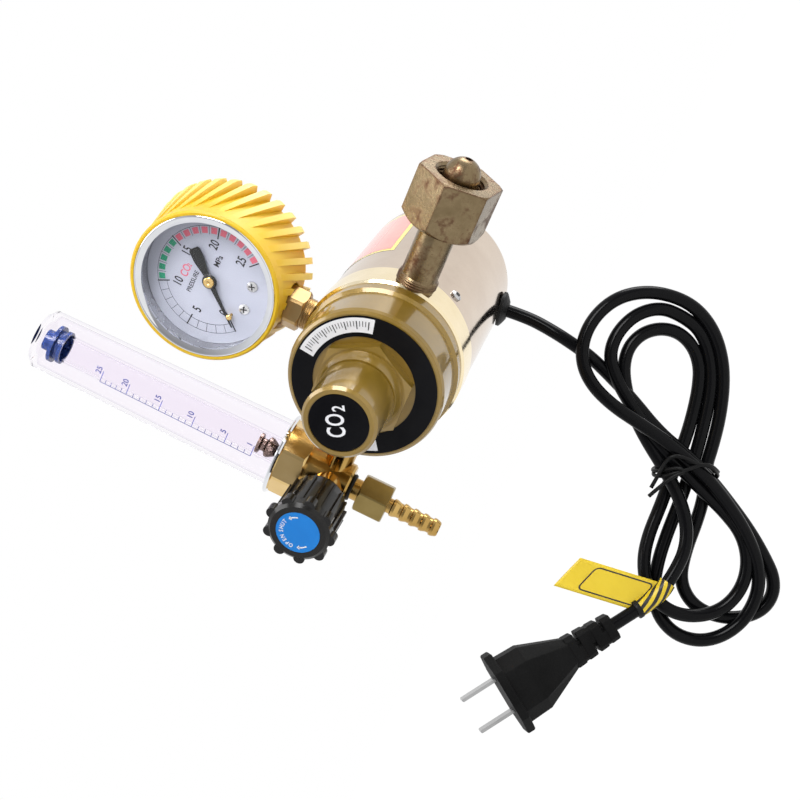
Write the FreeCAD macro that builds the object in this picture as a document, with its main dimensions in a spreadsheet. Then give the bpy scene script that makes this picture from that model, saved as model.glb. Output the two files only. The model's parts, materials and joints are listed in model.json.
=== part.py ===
import FreeCAD, Part
import math
import os
import re
import Sketcher

# Heated carbon dioxide regulator with pressure gauge, flow tube, needle valve and power cord.
# Millimetres. +X runs out of the inlet, +Y runs back along the body to the heater, +Z is up.
# The origin is on the inlet axis, at the middle of the straight part of the inlet nipple.
# The body axis runs along Y at x = -nipple_reach, and every port lies in the plane y = 0.

SIZES = {
    # Inlet nipple and coupling nut
    "nipple_radius": 7.8,
    "nipple_straight": 14.7,
    "nipple_collar_radius": 9.6,
    "nipple_collar": 4.0,
    "stem_radius": 8.1,
    "stem_length": 33.0,
    "inlet_thread_radius": 8.6,
    "inlet_thread": 8.0,
    "inlet_thread_shown": 3.2,
    "gas_bore": 2.5,
    "nose_bore": 1.6,
    "filter_length": 9.0,
    "filter_radius": 3.4,
    "nut_flats": 32.0,
    "nut_length": 23.5,
    "nut_floor": 4.5,
    "nut_bore": 10.4,
    "nut_rear_hole": 8.4,
    "nut_edge": 1.2,
    # Regulator body
    "body_radius": 36.5,
    "body_half": 8.5,
    "body_edge": 1.0,
    "spigot_radius": 30.5,
    "spigot_height": 3.5,
    "chamber_radius": 24.0,
    "chamber_floor": 4.5,
    "port_depth": 8.0,
    "seat_radius": 5.0,
    "seat_length": 5.5,
    "seat_orifice": 2.0,
    "poppet_bore": 7.0,
    "hub_radius": 12.0,
    "hub_length": 18.0,
    "skirt_gap": 0.4,
    "skirt_wall": 2.2,
    "skirt_length": 11.0,
    # Bonnet, its cap and the pressure spring
    "bonnet_length": 27.0,
    "bonnet_radius": 34.0,
    "bonnet_rim_radius": 35.5,
    "bonnet_rim": 6.0,
    "bonnet_front_radius": 32.2,
    "bonnet_front": 6.5,
    "bonnet_hex_flats": 38.0,
    "bonnet_hex": 5.0,
    "bonnet_step_radius": 18.0,
    "bonnet_step": 5.0,
    "bonnet_neck_radius": 13.4,
    "bonnet_neck": 7.0,
    "spring_bore": 12.0,
    "diaphragm_thick": 1.0,
    "diaphragm_hole": 3.1,
    "running_gap": 0.06,
    "soft_gap": 0.3,
    "cap_radius": 15.8,
    "cap_length": 25.5,
    "cap_wall": 3.0,
    "cap_bore": 13.45,
    "label_recess": 0.5,
    "gas_label_radius": 12.5,
    "ring_label_outer": 31.5,
    "ring_label_inner": 22.3,
    "label_thick": 0.4,
    "screw_radius": 5.0,
    "screw_length": 20.0,
    "plate_radius": 16.0,
    "plate_thick": 2.0,
    "button_radius": 11.6,
    "button_thick": 3.0,
    "button_clearance": 1.0,
    "spring_mean": 9.0,
    "spring_wire": 1.3,
    "spring_pitch": 6.5,
    "stroke": 0.6,
    # Valve
    "pin_radius": 0.9,
    "poppet_radius": 5.2,
    "poppet_length": 7.0,
    "poppet_guide": 2.5,
    "poppet_spring_mean": 4.2,
    "poppet_spring_wire": 0.5,
    "poppet_spring_pitch": 2.4,
    "plug_length": 5.0,
    # Heater
    "shell_step": 0.5,
    "shell_wall": 1.0,
    "shell_length": 86.5,
    "shell_corner": 3.0,
    "heater_block_radius": 17.0,
    "heater_block_length": 44.0,
    "band_wall": 3.5,
    "band_length": 30.0,
    "wool_gap": 3.0,
    "wool_end": 34.5,
    "thermostat_radius": 8.0,
    "thermostat_length": 7.0,
    "shell_screw_radius": 2.6,
    "shell_screw_height": 1.4,
    "shell_screw_shank": 1.4,
    "shell_screw_back": 6.0,
    "shell_screw_angle": 118.0,
    # Cord entry, cord and plug
    "grommet_inset": 16.5,
    "grommet_angle": 10.0,
    "grommet_flange": 8.4,
    "grommet_flange_thick": 1.4,
    "grommet_neck": 5.6,
    "grommet_inside": 4.0,
    "cord_radius": 3.2,
    "lead_straight": 12.0,
    "hank_thick": 12.0,
    "hank_front": 4.0,
    "tie_radius": 1.3,
    "plug_width": 40.0,
    "plug_height": 24.0,
    "plug_face": 4.0,
    "plug_body": 31.0,
    "plug_waist": 15.0,
    "relief_radius": 6.6,
    "relief_length": 25.0,
    "blade_gap": 16.5,
    "blade_length": 18.0,
    "blade_width": 6.3,
    "blade_thick": 1.5,
    "tag_length": 45.0,
    "tag_width": 17.0,
    "tag_thick": 0.4,
    "tag_turn": 221.7,
    "tail_length": 38.0,
    "tag_back": 15.0,
    "tie_reach": 18.0,
    # Pressure gauge
    "gauge_gap": 0.5,
    "gauge_face": 19.0,
    "bezel_gap": 0.2,
    "bezel_flat": 3.4,
    "bezel_depth": 9.0,
    "bezel_wall": 1.2,
    "window_thick": 2.0,
    "dial_depth": 8.9,
    "dial_gap": 0.1,
    "dial_thick": 0.6,
    "case_radius": 31.0,
    "case_wall": 1.0,
    "case_depth": 30.0,
    "case_round": 2.0,
    "boot_wall": 1.8,
    "boot_lip": 0.6,
    "boot_back": 2.6,
    "fin_height": 4.0,
    "fin_width": 3.0,
    "fin_slant": 10.5,
    "fin_start": 5.0,
    "fin_count": 32,
    "gauge_stem_flats": 17.0,
    "gauge_stem_hex": 10.0,
    "gauge_thread_radius": 6.9,
    "gauge_thread_shown": 3.5,
    "tube_coil_radius": 20.0,
    "tube_coil_wall": 2.6,
    "arbor_radius": 0.8,
    "pointer_length": 22.5,
    "pointer_tail": 16.2,
    "pointer_waist": 1.2,
    "pointer_tail_half": 2.6,
    "pointer_thick": 0.5,
    "pointer_lift": 1.6,
    "hub_cap_radius": 3.0,
    "hub_cap": 1.4,
    "stop_radius": 0.7,
    "stop_reach": 17.5,
    "stop_angle": 50.5,
    "dial_screw_radius": 2.4,
    "dial_screw_reach": 18.0,
    "dial_screw_side": 5.9,
    "dial_screw_shank": 0.9,
    # Flow block, flow tube and float
    "flow_reach": 72.0,
    "neck_radius": 6.5,
    "block_radius": 10.5,
    "block_low": 9.0,
    "block_high": 12.6,
    "flow_nut_flats": 34.0,
    "flow_nut": 12.1,
    "flow_nut_floor": 2.6,
    "flow_spigot": 9.0,
    "ring_radius": 19.6,
    "ring_thick": 1.8,
    "cover_base_radius": 16.1,
    "cover_top_radius": 14.4,
    "cover_wall": 1.8,
    "plug_above": 5.4,
    "cover_top_wall": 2.5,
    "cover_round": 2.5,
    "tube_radius": 6.6,
    "tube_wall": 1.3,
    "tube_length": 129.0,
    "tube_plug_radius": 8.0,
    "tube_plug_cup": 5.0,
    "tube_plug_neck": 5.0,
    "float_radius": 4.9,
    "float_length": 9.5,
    "float_gap": 0.3,
    "float_rest": 2.0,
    "tube_seal": 2.0,
    "tube_clearance": 0.05,
    "tube_seat": 2.0,
    "link_depth": 4.0,
    # Needle valve
    "valve_neck_radius": 7.5,
    "valve_neck": 6.0,
    "gland_flats": 14.0,
    "gland": 5.6,
    "packing_radius": 4.2,
    "packing_length": 4.0,
    "needle_point": 4.0,
    "spindle_radius": 2.5,
    "spindle_length": 41.0,
    "knob_front": 49.9,
    "knob_length": 30.0,
    "knob_radius": 13.4,
    "knob_back_radius": 12.9,
    "knob_back_edge": 3.5,
    "knob_flange_radius": 14.3,
    "knob_flange": 6.0,
    "knob_wall": 1.8,
    "knob_skirt": 3.8,
    "knob_lobes": 9,
    "lobe_radius": 2.6,
    "lobe_reach": 14.0,
    "flute_count": 18,
    "flute_width": 1.5,
    "flute_height": 1.0,
    "disc_radius": 10.0,
    "disc_thick": 0.5,
    # Outlet
    "outlet_thread_radius": 5.2,
    "outlet_thread": 9.0,
    "outlet_gap": 5.3,
    "outlet_nut_flats": 17.0,
    "outlet_nut": 14.4,
    "barb_radius": 4.3,
    "barb_root_radius": 3.6,
    "barb_bore": 2.2,
    "barb_step": 5.0,
    "barb_count": 5,
    "barb_flange": 2.5,
}

# Sizes that follow from others
FOLLOWING = {
    "nipple_reach": "body_radius + stem_length + nipple_collar + nipple_straight / 2",
    "shell_radius": "body_radius - shell_step",
    "skirt_radius": "shell_radius - shell_wall - skirt_gap",
    "wool_radius": "shell_radius - shell_wall - wool_gap",
    "grommet_back": "shell_length - grommet_inset",
    "wool_length": "shell_length - wool_end",
    "gauge_height": "body_radius + gauge_thread_shown + gauge_stem_hex + gauge_gap + case_radius",
    "bezel_radius": "case_radius + bezel_gap + bezel_wall",
    "bezel_lip": "bezel_radius - bezel_flat",
    "dial_radius": "case_radius - case_wall - dial_gap",
    "cover_length": "tube_length + tube_seat - flow_nut - ring_thick + plug_above + cover_top_wall",
    "gauge_neck_top": "gauge_height - body_radius + port_depth - tube_coil_radius",
}

DOC = FreeCAD.newDocument("carbon_dioxide_regulator")
SHEET = DOC.addObject("Spreadsheet::Sheet", "sizes")
for row, (alias, number) in enumerate(SIZES.items(), 1):
    SHEET.set(f"A{row}", alias)
    SHEET.set(f"B{row}", str(number))
    SHEET.setAlias(f"B{row}", alias)
for row, (alias, formula) in enumerate(FOLLOWING.items(), len(SIZES) + 1):
    SHEET.set(f"A{row}", alias)
    SHEET.set(f"B{row}", "=" + formula)
    SHEET.setAlias(f"B{row}", alias)
DOC.recompute()

NODES = {}
UP = FreeCAD.Vector(0, 0, 1)
OUT_OF_INLET = FreeCAD.Vector(1, 0, 0)
TO_FLOW = FreeCAD.Vector(-1, 0, 0)
BACK = FreeCAD.Vector(0, 1, 0)
FRONT = FreeCAD.Vector(0, -1, 0)
DOWN = FreeCAD.Vector(0, 0, -1)
BODY_X = "-nipple_reach"
FRONT_FACE = "(body_half + bonnet_length)"
FLOW_X = "-nipple_reach - flow_reach"


def linked(text):
    """Point every size named in an expression at its cell."""
    return re.sub(r"[a-z_]+", lambda word: cell(word.group()), str(text))


def cell(word):
    return "sizes." + word if word in SIZES or word in FOLLOWING else word


def value(alias):
    """The number in a cell of the sheet."""
    return float(SHEET.get(alias))


def place(item, direction=UP, x="0", y="0", z="0", turn=0):
    """Stand an object with its own Z along a direction and its base at a bound point."""
    rotation = FreeCAD.Rotation(UP, direction).multiply(FreeCAD.Rotation(UP, turn))
    item.Placement = FreeCAD.Placement(FreeCAD.Vector(), rotation)
    for letter, text in (("x", x), ("y", y), ("z", z)):
        item.setExpression(f"Placement.Base.{letter}", linked(text))
    return item


def node(name, item):
    """Name the finished object of a sub-part."""
    item.Label = name
    NODES[name] = item
    return item


def plane(body, role):
    return next(item for item in body.Origin.OriginFeatures if item.Role == role)


def outline(sketch, corners):
    """A closed outline of straight edges, each corner (across, along) bound to the sheet."""
    count = len(corners)
    rough = []
    for index in range(count):
        angle = 2 * math.pi * index / count
        rough.append(FreeCAD.Vector(60 + 20 * math.cos(angle), 60 + 20 * math.sin(angle), 0))
    for index in range(count):
        sketch.addGeometry(Part.LineSegment(rough[index], rough[(index + 1) % count]), False)
    for index in range(count):
        following = (index + 1) % count
        sketch.addConstraint(Sketcher.Constraint("Coincident", index, 2, following, 1))
    for index, (across, along) in enumerate(corners):
        for kind, text, axis, rough_value in (
            ("DistanceX", across, -2, rough[index].x),
            ("DistanceY", along, -1, rough[index].y),
        ):
            if str(text) == "0":
                sketch.addConstraint(Sketcher.Constraint("PointOnObject", index, 1, axis))
                continue
            number = sketch.addConstraint(Sketcher.Constraint(kind, -1, 1, index, 1, rough_value))
            label = f"{kind[-1].lower()}_of_corner_{index}"
            sketch.renameConstraint(number, label)
            sketch.setExpression(f"Constraints.{label}", linked(text))


def sketched(body, name, role, corners):
    sketch = body.newObject("Sketcher::SketchObject", name)
    sketch.AttachmentSupport = [(plane(body, role), "")]
    sketch.MapMode = "FlatFace"
    outline(sketch, corners)
    return sketch


def turned(name, corners):
    """A lathe-turned body about its own Z from (radius, height) corners."""
    body = DOC.addObject("PartDesign::Body", name)
    sketch = sketched(body, name + "_profile", "XZ_Plane", corners)
    spin = body.newObject("PartDesign::Revolution", name + "_turning")
    spin.Profile = sketch
    spin.ReferenceAxis = (sketch, ["V_Axis"])
    spin.Angle = 360
    body.Tip = spin
    return body


def rod(name, radius, length, start="0"):
    item = DOC.addObject("Part::Cylinder", name)
    item.setExpression("Radius", linked(radius))
    item.setExpression("Height", linked(length))
    return place(item, z=start)


def hexagon(name, flats, length, start="0", turn=0, sides=6):
    item = DOC.addObject("Part::Prism", name)
    item.Polygon = sides
    item.setExpression("Circumradius", linked(f"({flats}) / 2 / cos(180 / {sides})"))
    item.setExpression("Height", linked(length))
    return place(item, z=start, turn=turn)


def block(name, across, deep, high, centre=("0", "0", "0")):
    item = DOC.addObject("Part::Box", name)
    for side, text in (("Length", across), ("Width", deep), ("Height", high)):
        item.setExpression(side, linked(text))
    place(item, x=f"{centre[0]} - ({across}) / 2", y=f"{centre[1]} - ({deep}) / 2", z=centre[2])
    return item


def cut(name, base, *tools):
    tool = tools[0] if len(tools) == 1 else fuse(name + "_cuts", *tools)
    item = DOC.addObject("Part::Cut", name)
    item.Base = base
    item.Tool = tool
    return item


def fuse(name, *pieces):
    item = DOC.addObject("Part::MultiFuse", name)
    item.Shapes = list(pieces)
    return item


def common(name, *pieces):
    item = DOC.addObject("Part::MultiCommon", name)
    item.Shapes = list(pieces)
    return item


def group(name, pieces):
    item = DOC.addObject("Part::Compound", name)
    item.Links = list(pieces)
    return item


def coil(name, mean, wire, pitch, height):
    """A round-wire compression spring standing on its own Z."""
    spine = DOC.addObject("Part::Helix", name + "_line")
    spine.setExpression("Radius", linked(mean))
    spine.setExpression("Pitch", linked(pitch))
    spine.setExpression("Height", linked(height))
    ring = DOC.addObject("Part::Circle", name + "_wire")
    ring.setExpression("Radius", linked(wire))
    place(ring, FRONT, x=mean)
    spring = DOC.addObject("Part::Sweep", name)
    spring.Sections = [ring]
    spring.Spine = (spine, [])
    spring.Solid = True
    spring.Frenet = True
    return spring


def hex_blank(name, corners, flats, length, start="0", turn=0, sides=6):
    """The flat-sided stretch of a turned blank, with the blank's own chamfers on its corners."""
    return common(name, turned(name + "_blank", corners), hexagon(name + "_bar", flats, length, start, turn, sides))


def inlet():
    """Nipple with a ball nose, its filter, and the coupling nut that its collar holds."""
    base = "body_radius - inlet_thread"
    root = "inlet_thread + inlet_thread_shown"
    stem = "inlet_thread + stem_length"
    collar = f"{stem} + nipple_collar"
    nose = f"{collar} + nipple_straight"
    shaft = turned("inlet_nipple_shaft", [
        ("0", "0"), ("inlet_thread_radius - 0.8", "0"), ("inlet_thread_radius", "0.8"),
        ("inlet_thread_radius", root), ("stem_radius", f"{root} + 0.8"), ("stem_radius", stem),
        ("nipple_collar_radius", stem), ("nipple_collar_radius", f"{collar} - 1"),
        ("nipple_collar_radius - 1", collar), ("nipple_radius", collar), ("nipple_radius", nose), ("0", nose),
    ])
    ball = DOC.addObject("Part::Sphere", "inlet_nose")
    ball.setExpression("Radius", linked("nipple_radius"))
    place(ball, z=nose)
    bore = rod("inlet_bore", "gas_bore", f"{nose} - filter_length")
    pocket = rod("filter_pocket", "filter_radius", "filter_length + 2", f"{nose} - filter_length")
    tip = rod("nose_bore", "nose_bore", "nipple_radius + 1", nose)
    nipple = cut("inlet_nipple_turned", fuse("inlet_nipple_whole", shaft, ball), bore, pocket, tip)
    node("inlet_nipple", place(nipple, OUT_OF_INLET, x=f"{BODY_X} + {base}"))

    mesh = turned("inlet_filter", [
        ("nose_bore", "0"), ("filter_radius - running_gap", "0"),
        ("filter_radius - running_gap", "filter_length"), ("nose_bore", "filter_length"),
    ])
    node("inlet_filter", place(mesh, OUT_OF_INLET, x="nipple_straight / 2 - filter_length"))

    edge = "nut_flats / 2 + nut_edge"
    blank = hex_blank("nut_hexagon", [
        ("0", "0"), ("nut_flats / 2 - 0.4", "0"), ("nut_flats / cos(30) / 2", "(nut_flats / cos(30) / 2 - nut_flats / 2 + 0.4) * 0.9"),
        ("nut_flats / cos(30) / 2", "nut_length - 0.6"), (edge, "nut_length"), ("0", "nut_length"),
    ], "nut_flats", "nut_length", turn=20)
    hole = rod("nut_rear_hole", "nut_rear_hole", "nut_floor + 1", "-0.5")
    thread = turned("nut_thread_bore", [
        ("0", "nut_floor"), ("nut_bore", "nut_floor"), ("nut_bore", "nut_length - 1.2"),
        ("nut_bore + 1.2", "nut_length"), ("nut_bore + 1.2", "nut_length + 1"), ("0", "nut_length + 1"),
    ])
    nut = cut("inlet_nut_cut", blank, hole, thread)
    node("inlet_nut", place(nut, OUT_OF_INLET, x="-nipple_straight / 2 - nipple_collar - soft_gap - nut_floor"))


def regulator_body():
    """Body with three ports, the low pressure chamber, the valve hub and the shell skirt."""
    front = "spigot_height"
    back = "spigot_height + 2 * body_half"
    shell = turned("body_turned", [
        ("0", "0"), ("spigot_radius", "0"), ("spigot_radius", front), ("body_radius - body_edge", front),
        ("body_radius", f"{front} + body_edge"), ("body_radius", f"{back} - body_edge"),
        ("body_radius - body_edge", back), ("skirt_radius", back), ("skirt_radius", f"{back} + skirt_length"),
        ("skirt_radius - skirt_wall", f"{back} + skirt_length"), ("skirt_radius - skirt_wall", back),
        ("hub_radius", back), ("hub_radius", f"{back} + hub_length"), ("0", f"{back} + hub_length"),
    ])
    centre = "spigot_height + body_half"
    chamber = rod("low_chamber", "chamber_radius", f"{centre} - chamber_floor + 1", "-1")
    seat_hole = rod("seat_hole", "seat_radius", "seat_length + 1", f"{centre} - chamber_floor - 1")
    valve_bore = rod("valve_bore", "poppet_bore", f"{back} + hub_length", f"{centre} - chamber_floor + seat_length")
    inlet_port = rod("inlet_port", "inlet_thread_radius", "port_depth + 1")
    place(inlet_port, OUT_OF_INLET, x="body_radius - inlet_thread", z=centre)
    inlet_way = rod("inlet_way", "gas_bore", "body_radius")
    place(inlet_way, OUT_OF_INLET, z=centre)
    gauge_port = rod("gauge_port", "gauge_thread_radius", "port_depth + 1")
    place(gauge_port, FRONT, y="-body_radius + port_depth", z=centre)
    gauge_way = rod("gauge_way", "gas_bore - 1", "body_radius")
    place(gauge_way, FRONT, z=centre)
    flow_port = rod("flow_port", "neck_radius", "port_depth + 1")
    place(flow_port, TO_FLOW, x="-body_radius + port_depth", z=centre)
    flow_way = rod("flow_way", "gas_bore", "port_depth")
    place(flow_way, TO_FLOW, x="-body_radius + port_depth * 2", z=centre)
    flow_rise = rod("flow_rise", "gas_bore", "chamber_floor + 1", f"{centre} - chamber_floor - 0.5")
    place(flow_rise, UP, x="-body_radius + port_depth * 2", z=f"{centre} - chamber_floor - 0.5")
    screw_holes = []
    for number in range(3):
        hole = rod(f"skirt_screw_hole_{number}", "shell_screw_shank", "skirt_wall + 2")
        screw_holes.append(radial(hole, number, "skirt_radius - skirt_wall - 1", f"{back} + shell_screw_back"))
    whole = cut("body_cut", shell, chamber, seat_hole, valve_bore, inlet_port, inlet_way,
                gauge_port, gauge_way, flow_port, flow_way, flow_rise, *screw_holes)
    node("regulator_body", place(whole, BACK, x=BODY_X, y="-body_half - spigot_height"))


def bonnet():
    """Spring housing with a flange for the ring label, a wrench hexagon and a threaded neck."""
    hexagon_top = "bonnet_length + bonnet_hex"
    step_top = f"{hexagon_top} + bonnet_step"
    neck_top = f"{step_top} + bonnet_neck"
    flange = turned("bonnet_turned", [
        ("0", "0"), ("bonnet_rim_radius", "0"), ("bonnet_rim_radius", "bonnet_rim"),
        ("bonnet_radius", "bonnet_rim + 1.2"), ("bonnet_radius", "bonnet_length - 2.2"),
        ("bonnet_radius - 0.6", "bonnet_length - 0.7"), ("bonnet_front_radius", "bonnet_length"),
        ("bonnet_step_radius", "bonnet_length"), ("bonnet_step_radius", hexagon_top),
        ("bonnet_step_radius - 1.6", step_top), ("bonnet_neck_radius", step_top),
        ("bonnet_neck_radius", f"{neck_top} - 1"), ("bonnet_neck_radius - 1", neck_top), ("0", neck_top),
    ])
    wrench = hex_blank("bonnet_wrench", [
        ("0", "bonnet_length - 1"), ("ring_label_inner - running_gap * 3", "bonnet_length - 1"),
        ("ring_label_inner - running_gap * 3", f"{hexagon_top} - 1.2"), ("bonnet_hex_flats / 2", hexagon_top),
        ("0", hexagon_top),
    ], "bonnet_hex_flats", "bonnet_hex + 1", "bonnet_length - 1")
    seat = rod("spigot_seat", "spigot_radius + running_gap", "spigot_height + diaphragm_thick")
    chamber = rod("spring_room", "chamber_radius", "bonnet_length - bonnet_front")
    bore = rod("spring_way", "spring_bore", f"{step_top}")
    thread = rod("screw_way", "screw_radius", f"{neck_top} + 1")
    whole = cut("bonnet_cut", fuse("bonnet_whole", flange, wrench), seat, chamber, bore, thread)
    node("bonnet", place(whole, FRONT, x=BODY_X, y="-body_half"))

    label = turned("ring_label", [
        ("ring_label_inner", "0"), ("ring_label_outer", "0"),
        ("ring_label_outer", "label_thick"), ("ring_label_inner", "label_thick"),
    ])
    node("ring_label", place(label, FRONT, x=BODY_X, y=f"-{FRONT_FACE}"))

    cap_top = "cap_length"
    cap = turned("adjuster_cap", [
        ("cap_bore", "0"), ("cap_radius - 0.6", "0"), ("cap_radius", "0.6"), ("cap_radius", f"{cap_top} - 1.2"),
        ("cap_radius - 1.2", cap_top), ("gas_label_radius + 0.3", cap_top),
        ("gas_label_radius + 0.3", f"{cap_top} - label_recess"), ("0", f"{cap_top} - label_recess"),
        ("0", f"{cap_top} - cap_wall"), ("cap_bore", f"{cap_top} - cap_wall"),
    ])
    cap_seat = f"-{FRONT_FACE} - bonnet_hex - bonnet_step"
    node("adjuster_cap", place(cap, FRONT, x=BODY_X, y=cap_seat))
    gas = turned("gas_label", [
        ("0", "0"), ("gas_label_radius", "0"), ("gas_label_radius", "label_thick"), ("0", "label_thick"),
    ])
    node("gas_label", place(gas, FRONT, x=BODY_X, y=f"{cap_seat} - cap_length + label_recess"))

    screw = cut("adjusting_screw_cut", turned("adjusting_screw_turned", [
        ("0", "0"), ("screw_radius - 1", "0"), ("screw_radius - running_gap", "1"),
        ("screw_radius - running_gap", "screw_length - 0.8"), ("screw_radius - 0.8", "screw_length"),
        ("0", "screw_length"),
    ]), block("screw_slot", "screw_radius * 3", "1.6", "3", ("0", "0", "screw_length - 2")))
    node("adjusting_screw", place(screw, FRONT, x=BODY_X, y=f"{cap_seat} + button_clearance"))


def pressure_parts():
    """Diaphragm, spring and the valve train that follows the diaphragm."""
    face = "-body_half - spigot_height"
    rubber = turned("diaphragm", [
        ("diaphragm_hole", "0"), ("spigot_radius", "0"),
        ("spigot_radius", "diaphragm_thick"), ("diaphragm_hole", "diaphragm_thick"),
    ])
    node("diaphragm", place(rubber, FRONT, x=BODY_X, y=face))

    stud = "diaphragm_hole - running_gap"
    washer = "diaphragm_thick + soft_gap + stroke"
    plate = turned("diaphragm_plate", [
        ("0", "0"), ("plate_radius / 2", "0"), ("plate_radius / 2", "1.5"), (stud, "1.5"),
        (stud, f"1.5 + {washer} + soft_gap"), ("plate_radius", f"1.5 + {washer} + soft_gap"),
        ("plate_radius", f"1.5 + {washer} + soft_gap + plate_thick"),
        ("spring_mean - spring_wire - 1", f"1.5 + {washer} + soft_gap + plate_thick"),
        ("spring_mean - spring_wire - 2", f"3.5 + {washer} + soft_gap + plate_thick"),
        ("0", f"3.5 + {washer} + soft_gap + plate_thick"),
    ])
    node("diaphragm_plate", place(plate, FRONT, x=BODY_X, y=f"{face} + 1.5 + stroke + soft_gap"))

    spring_foot = f"{face} - diaphragm_thick - soft_gap - plate_thick - stroke - soft_gap"
    button_back = f"{FRONT_FACE} + bonnet_hex + bonnet_step - button_clearance - button_thick"
    spring = coil("main_spring_coil", "spring_mean", "spring_wire", "spring_pitch",
                  f"{button_back} + ({spring_foot}) - 2 * spring_wire - soft_gap")
    node("main_spring", place(spring, FRONT, x=BODY_X, y=f"{spring_foot} - spring_wire"))


def valve_parts():
    """Spring button, seat, poppet with its pin, poppet spring and the plug that closes the hub."""
    button_front = f"-{FRONT_FACE} - bonnet_hex - bonnet_step + button_clearance"
    button = turned("spring_button", [
        ("0", "0"), ("spring_mean - spring_wire - 1.5", "0"), ("spring_mean - spring_wire - 0.5", "2"),
        ("button_radius", "2"), ("button_radius", "2 + button_thick"), ("0", "2 + button_thick"),
    ])
    node("spring_button", place(button, FRONT, x=BODY_X, y=f"{button_front} + button_thick + 2"))

    seat = turned("valve_seat", [
        ("seat_orifice", "0"), ("seat_radius", "0"), ("seat_radius", "seat_length"),
        ("seat_orifice + 1", "seat_length"), ("seat_orifice", "seat_length - 1"),
    ])
    node("valve_seat", place(seat, BACK, x=BODY_X, y="-chamber_floor"))

    washer_back = "(body_half + spigot_height - 1.5 - stroke - soft_gap)"
    poppet_front = "(seat_length - chamber_floor + stroke + running_gap)"
    pin = f"{washer_back} + {poppet_front}"
    poppet = turned("valve_poppet", [
        ("0", "0"), ("pin_radius", "0"), ("pin_radius", pin), ("poppet_radius", pin),
        ("poppet_radius", f"{pin} + poppet_length"), ("poppet_guide", f"{pin} + poppet_length"),
        ("poppet_guide", f"{pin} + poppet_length * 1.6"), ("0", f"{pin} + poppet_length * 1.6"),
    ])
    node("valve_poppet", place(poppet, BACK, x=BODY_X, y=f"-{washer_back}"))

    spring_start = f"{poppet_front} + poppet_length + poppet_spring_wire + soft_gap"
    room = f"body_half + hub_length - plug_length - {poppet_front} - poppet_length - 2 * poppet_spring_wire - 2 * soft_gap"
    spring = coil("poppet_spring_coil", "poppet_spring_mean", "poppet_spring_wire", "poppet_spring_pitch", room)
    node("poppet_spring", place(spring, BACK, x=BODY_X, y=spring_start))

    plug = cut("valve_plug_cut", turned("valve_plug_turned", [
        ("0", "0"), ("poppet_bore", "0"), ("poppet_bore", "plug_length"), ("0", "plug_length"),
    ]), hexagon("valve_plug_socket", "6", "4", "plug_length - 3"))
    node("valve_plug", place(plug, BACK, x=BODY_X, y="body_half + hub_length - plug_length"))


def heater():
    """Heat block on the hub, its ceramic band, wool, thermostat, and the shell with its screws."""
    start = "body_half"
    block_start = f"{start} + 1"
    heat = turned("heater_block", [
        ("hub_radius", "0"), ("heater_block_radius", "0"), ("heater_block_radius", "heater_block_length - 1"),
        ("heater_block_radius - 1", "heater_block_length"), ("0", "heater_block_length"),
        ("0", "hub_length - 1"), ("hub_radius", "hub_length - 1"),
    ])
    node("heater_block", place(heat, BACK, x=BODY_X, y=block_start))
    band = turned("heater_band", [
        ("heater_block_radius", "0"), ("heater_block_radius + band_wall", "0"),
        ("heater_block_radius + band_wall", "band_length"), ("heater_block_radius", "band_length"),
    ])
    node("heater_band", place(band, BACK, x=BODY_X, y=f"{block_start} + 6"))
    wool = turned("heater_wool", [
        ("heater_block_radius + band_wall", "0"), ("wool_radius", "0"),
        ("wool_radius", "wool_length"), ("heater_block_radius + band_wall", "wool_length"),
    ])
    node("heater_wool", place(wool, BACK, x=BODY_X, y=start))
    switch = turned("thermostat", [
        ("0", "0"), ("thermostat_radius", "0"), ("thermostat_radius", "thermostat_length * 0.6"),
        ("thermostat_radius * 0.7", "thermostat_length * 0.6"), ("thermostat_radius * 0.7", "thermostat_length"),
        ("0", "thermostat_length"),
    ])
    node("thermostat", place(switch, BACK, x=BODY_X, y=f"{block_start} + heater_block_length"))

    cup = turned("shell_turned", [
        ("shell_radius - shell_wall", "0"), ("shell_radius", "0"), ("shell_radius", "shell_length"), ("0", "shell_length"),
        ("0", "shell_length - shell_wall"), ("shell_radius - shell_wall", "shell_length - shell_wall"),
    ])
    soften(cup, "shell_corner", [(value("shell_radius"), value("shell_length"))])
    cuts = []
    for number in range(3):
        hole = rod(f"shell_screw_hole_{number}", "shell_screw_shank", "shell_wall * 4")
        cuts.append(radial(hole, number, "shell_radius - shell_wall * 2"))
    exit_hole = rod("shell_cord_hole", "grommet_neck", "shell_wall * 6")
    cuts.append(at_cord_exit(exit_hole, "shell_radius - shell_wall * 4", "grommet_back"))
    node("heater_shell", place(cut("heater_shell_cut", cup, *cuts), BACK, x=BODY_X, y=start))

    screws = []
    for number in range(3):
        screw = cut(f"shell_screw_{number}", turned(f"shell_screw_{number}_turned", [
            ("0", "0"), ("shell_screw_shank", "0"), ("shell_screw_shank", "skirt_wall + shell_wall"),
            ("shell_screw_radius", "skirt_wall + shell_wall"),
            ("shell_screw_radius", "skirt_wall + shell_wall + shell_screw_height * 0.5"),
            ("shell_screw_radius * 0.6", "skirt_wall + shell_wall + shell_screw_height"),
            ("0", "skirt_wall + shell_wall + shell_screw_height"),
        ]), block(f"screw_cross_{number}", "shell_screw_radius * 1.2", "0.5", "2", ("0", "0", "skirt_wall + shell_wall + shell_screw_height * 0.5")))
        screws.append(radial(screw, number, "shell_radius - shell_wall - skirt_wall"))
    node("shell_screws", place(group("shell_screws_all", screws), BACK, x=BODY_X, y=start))


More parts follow.
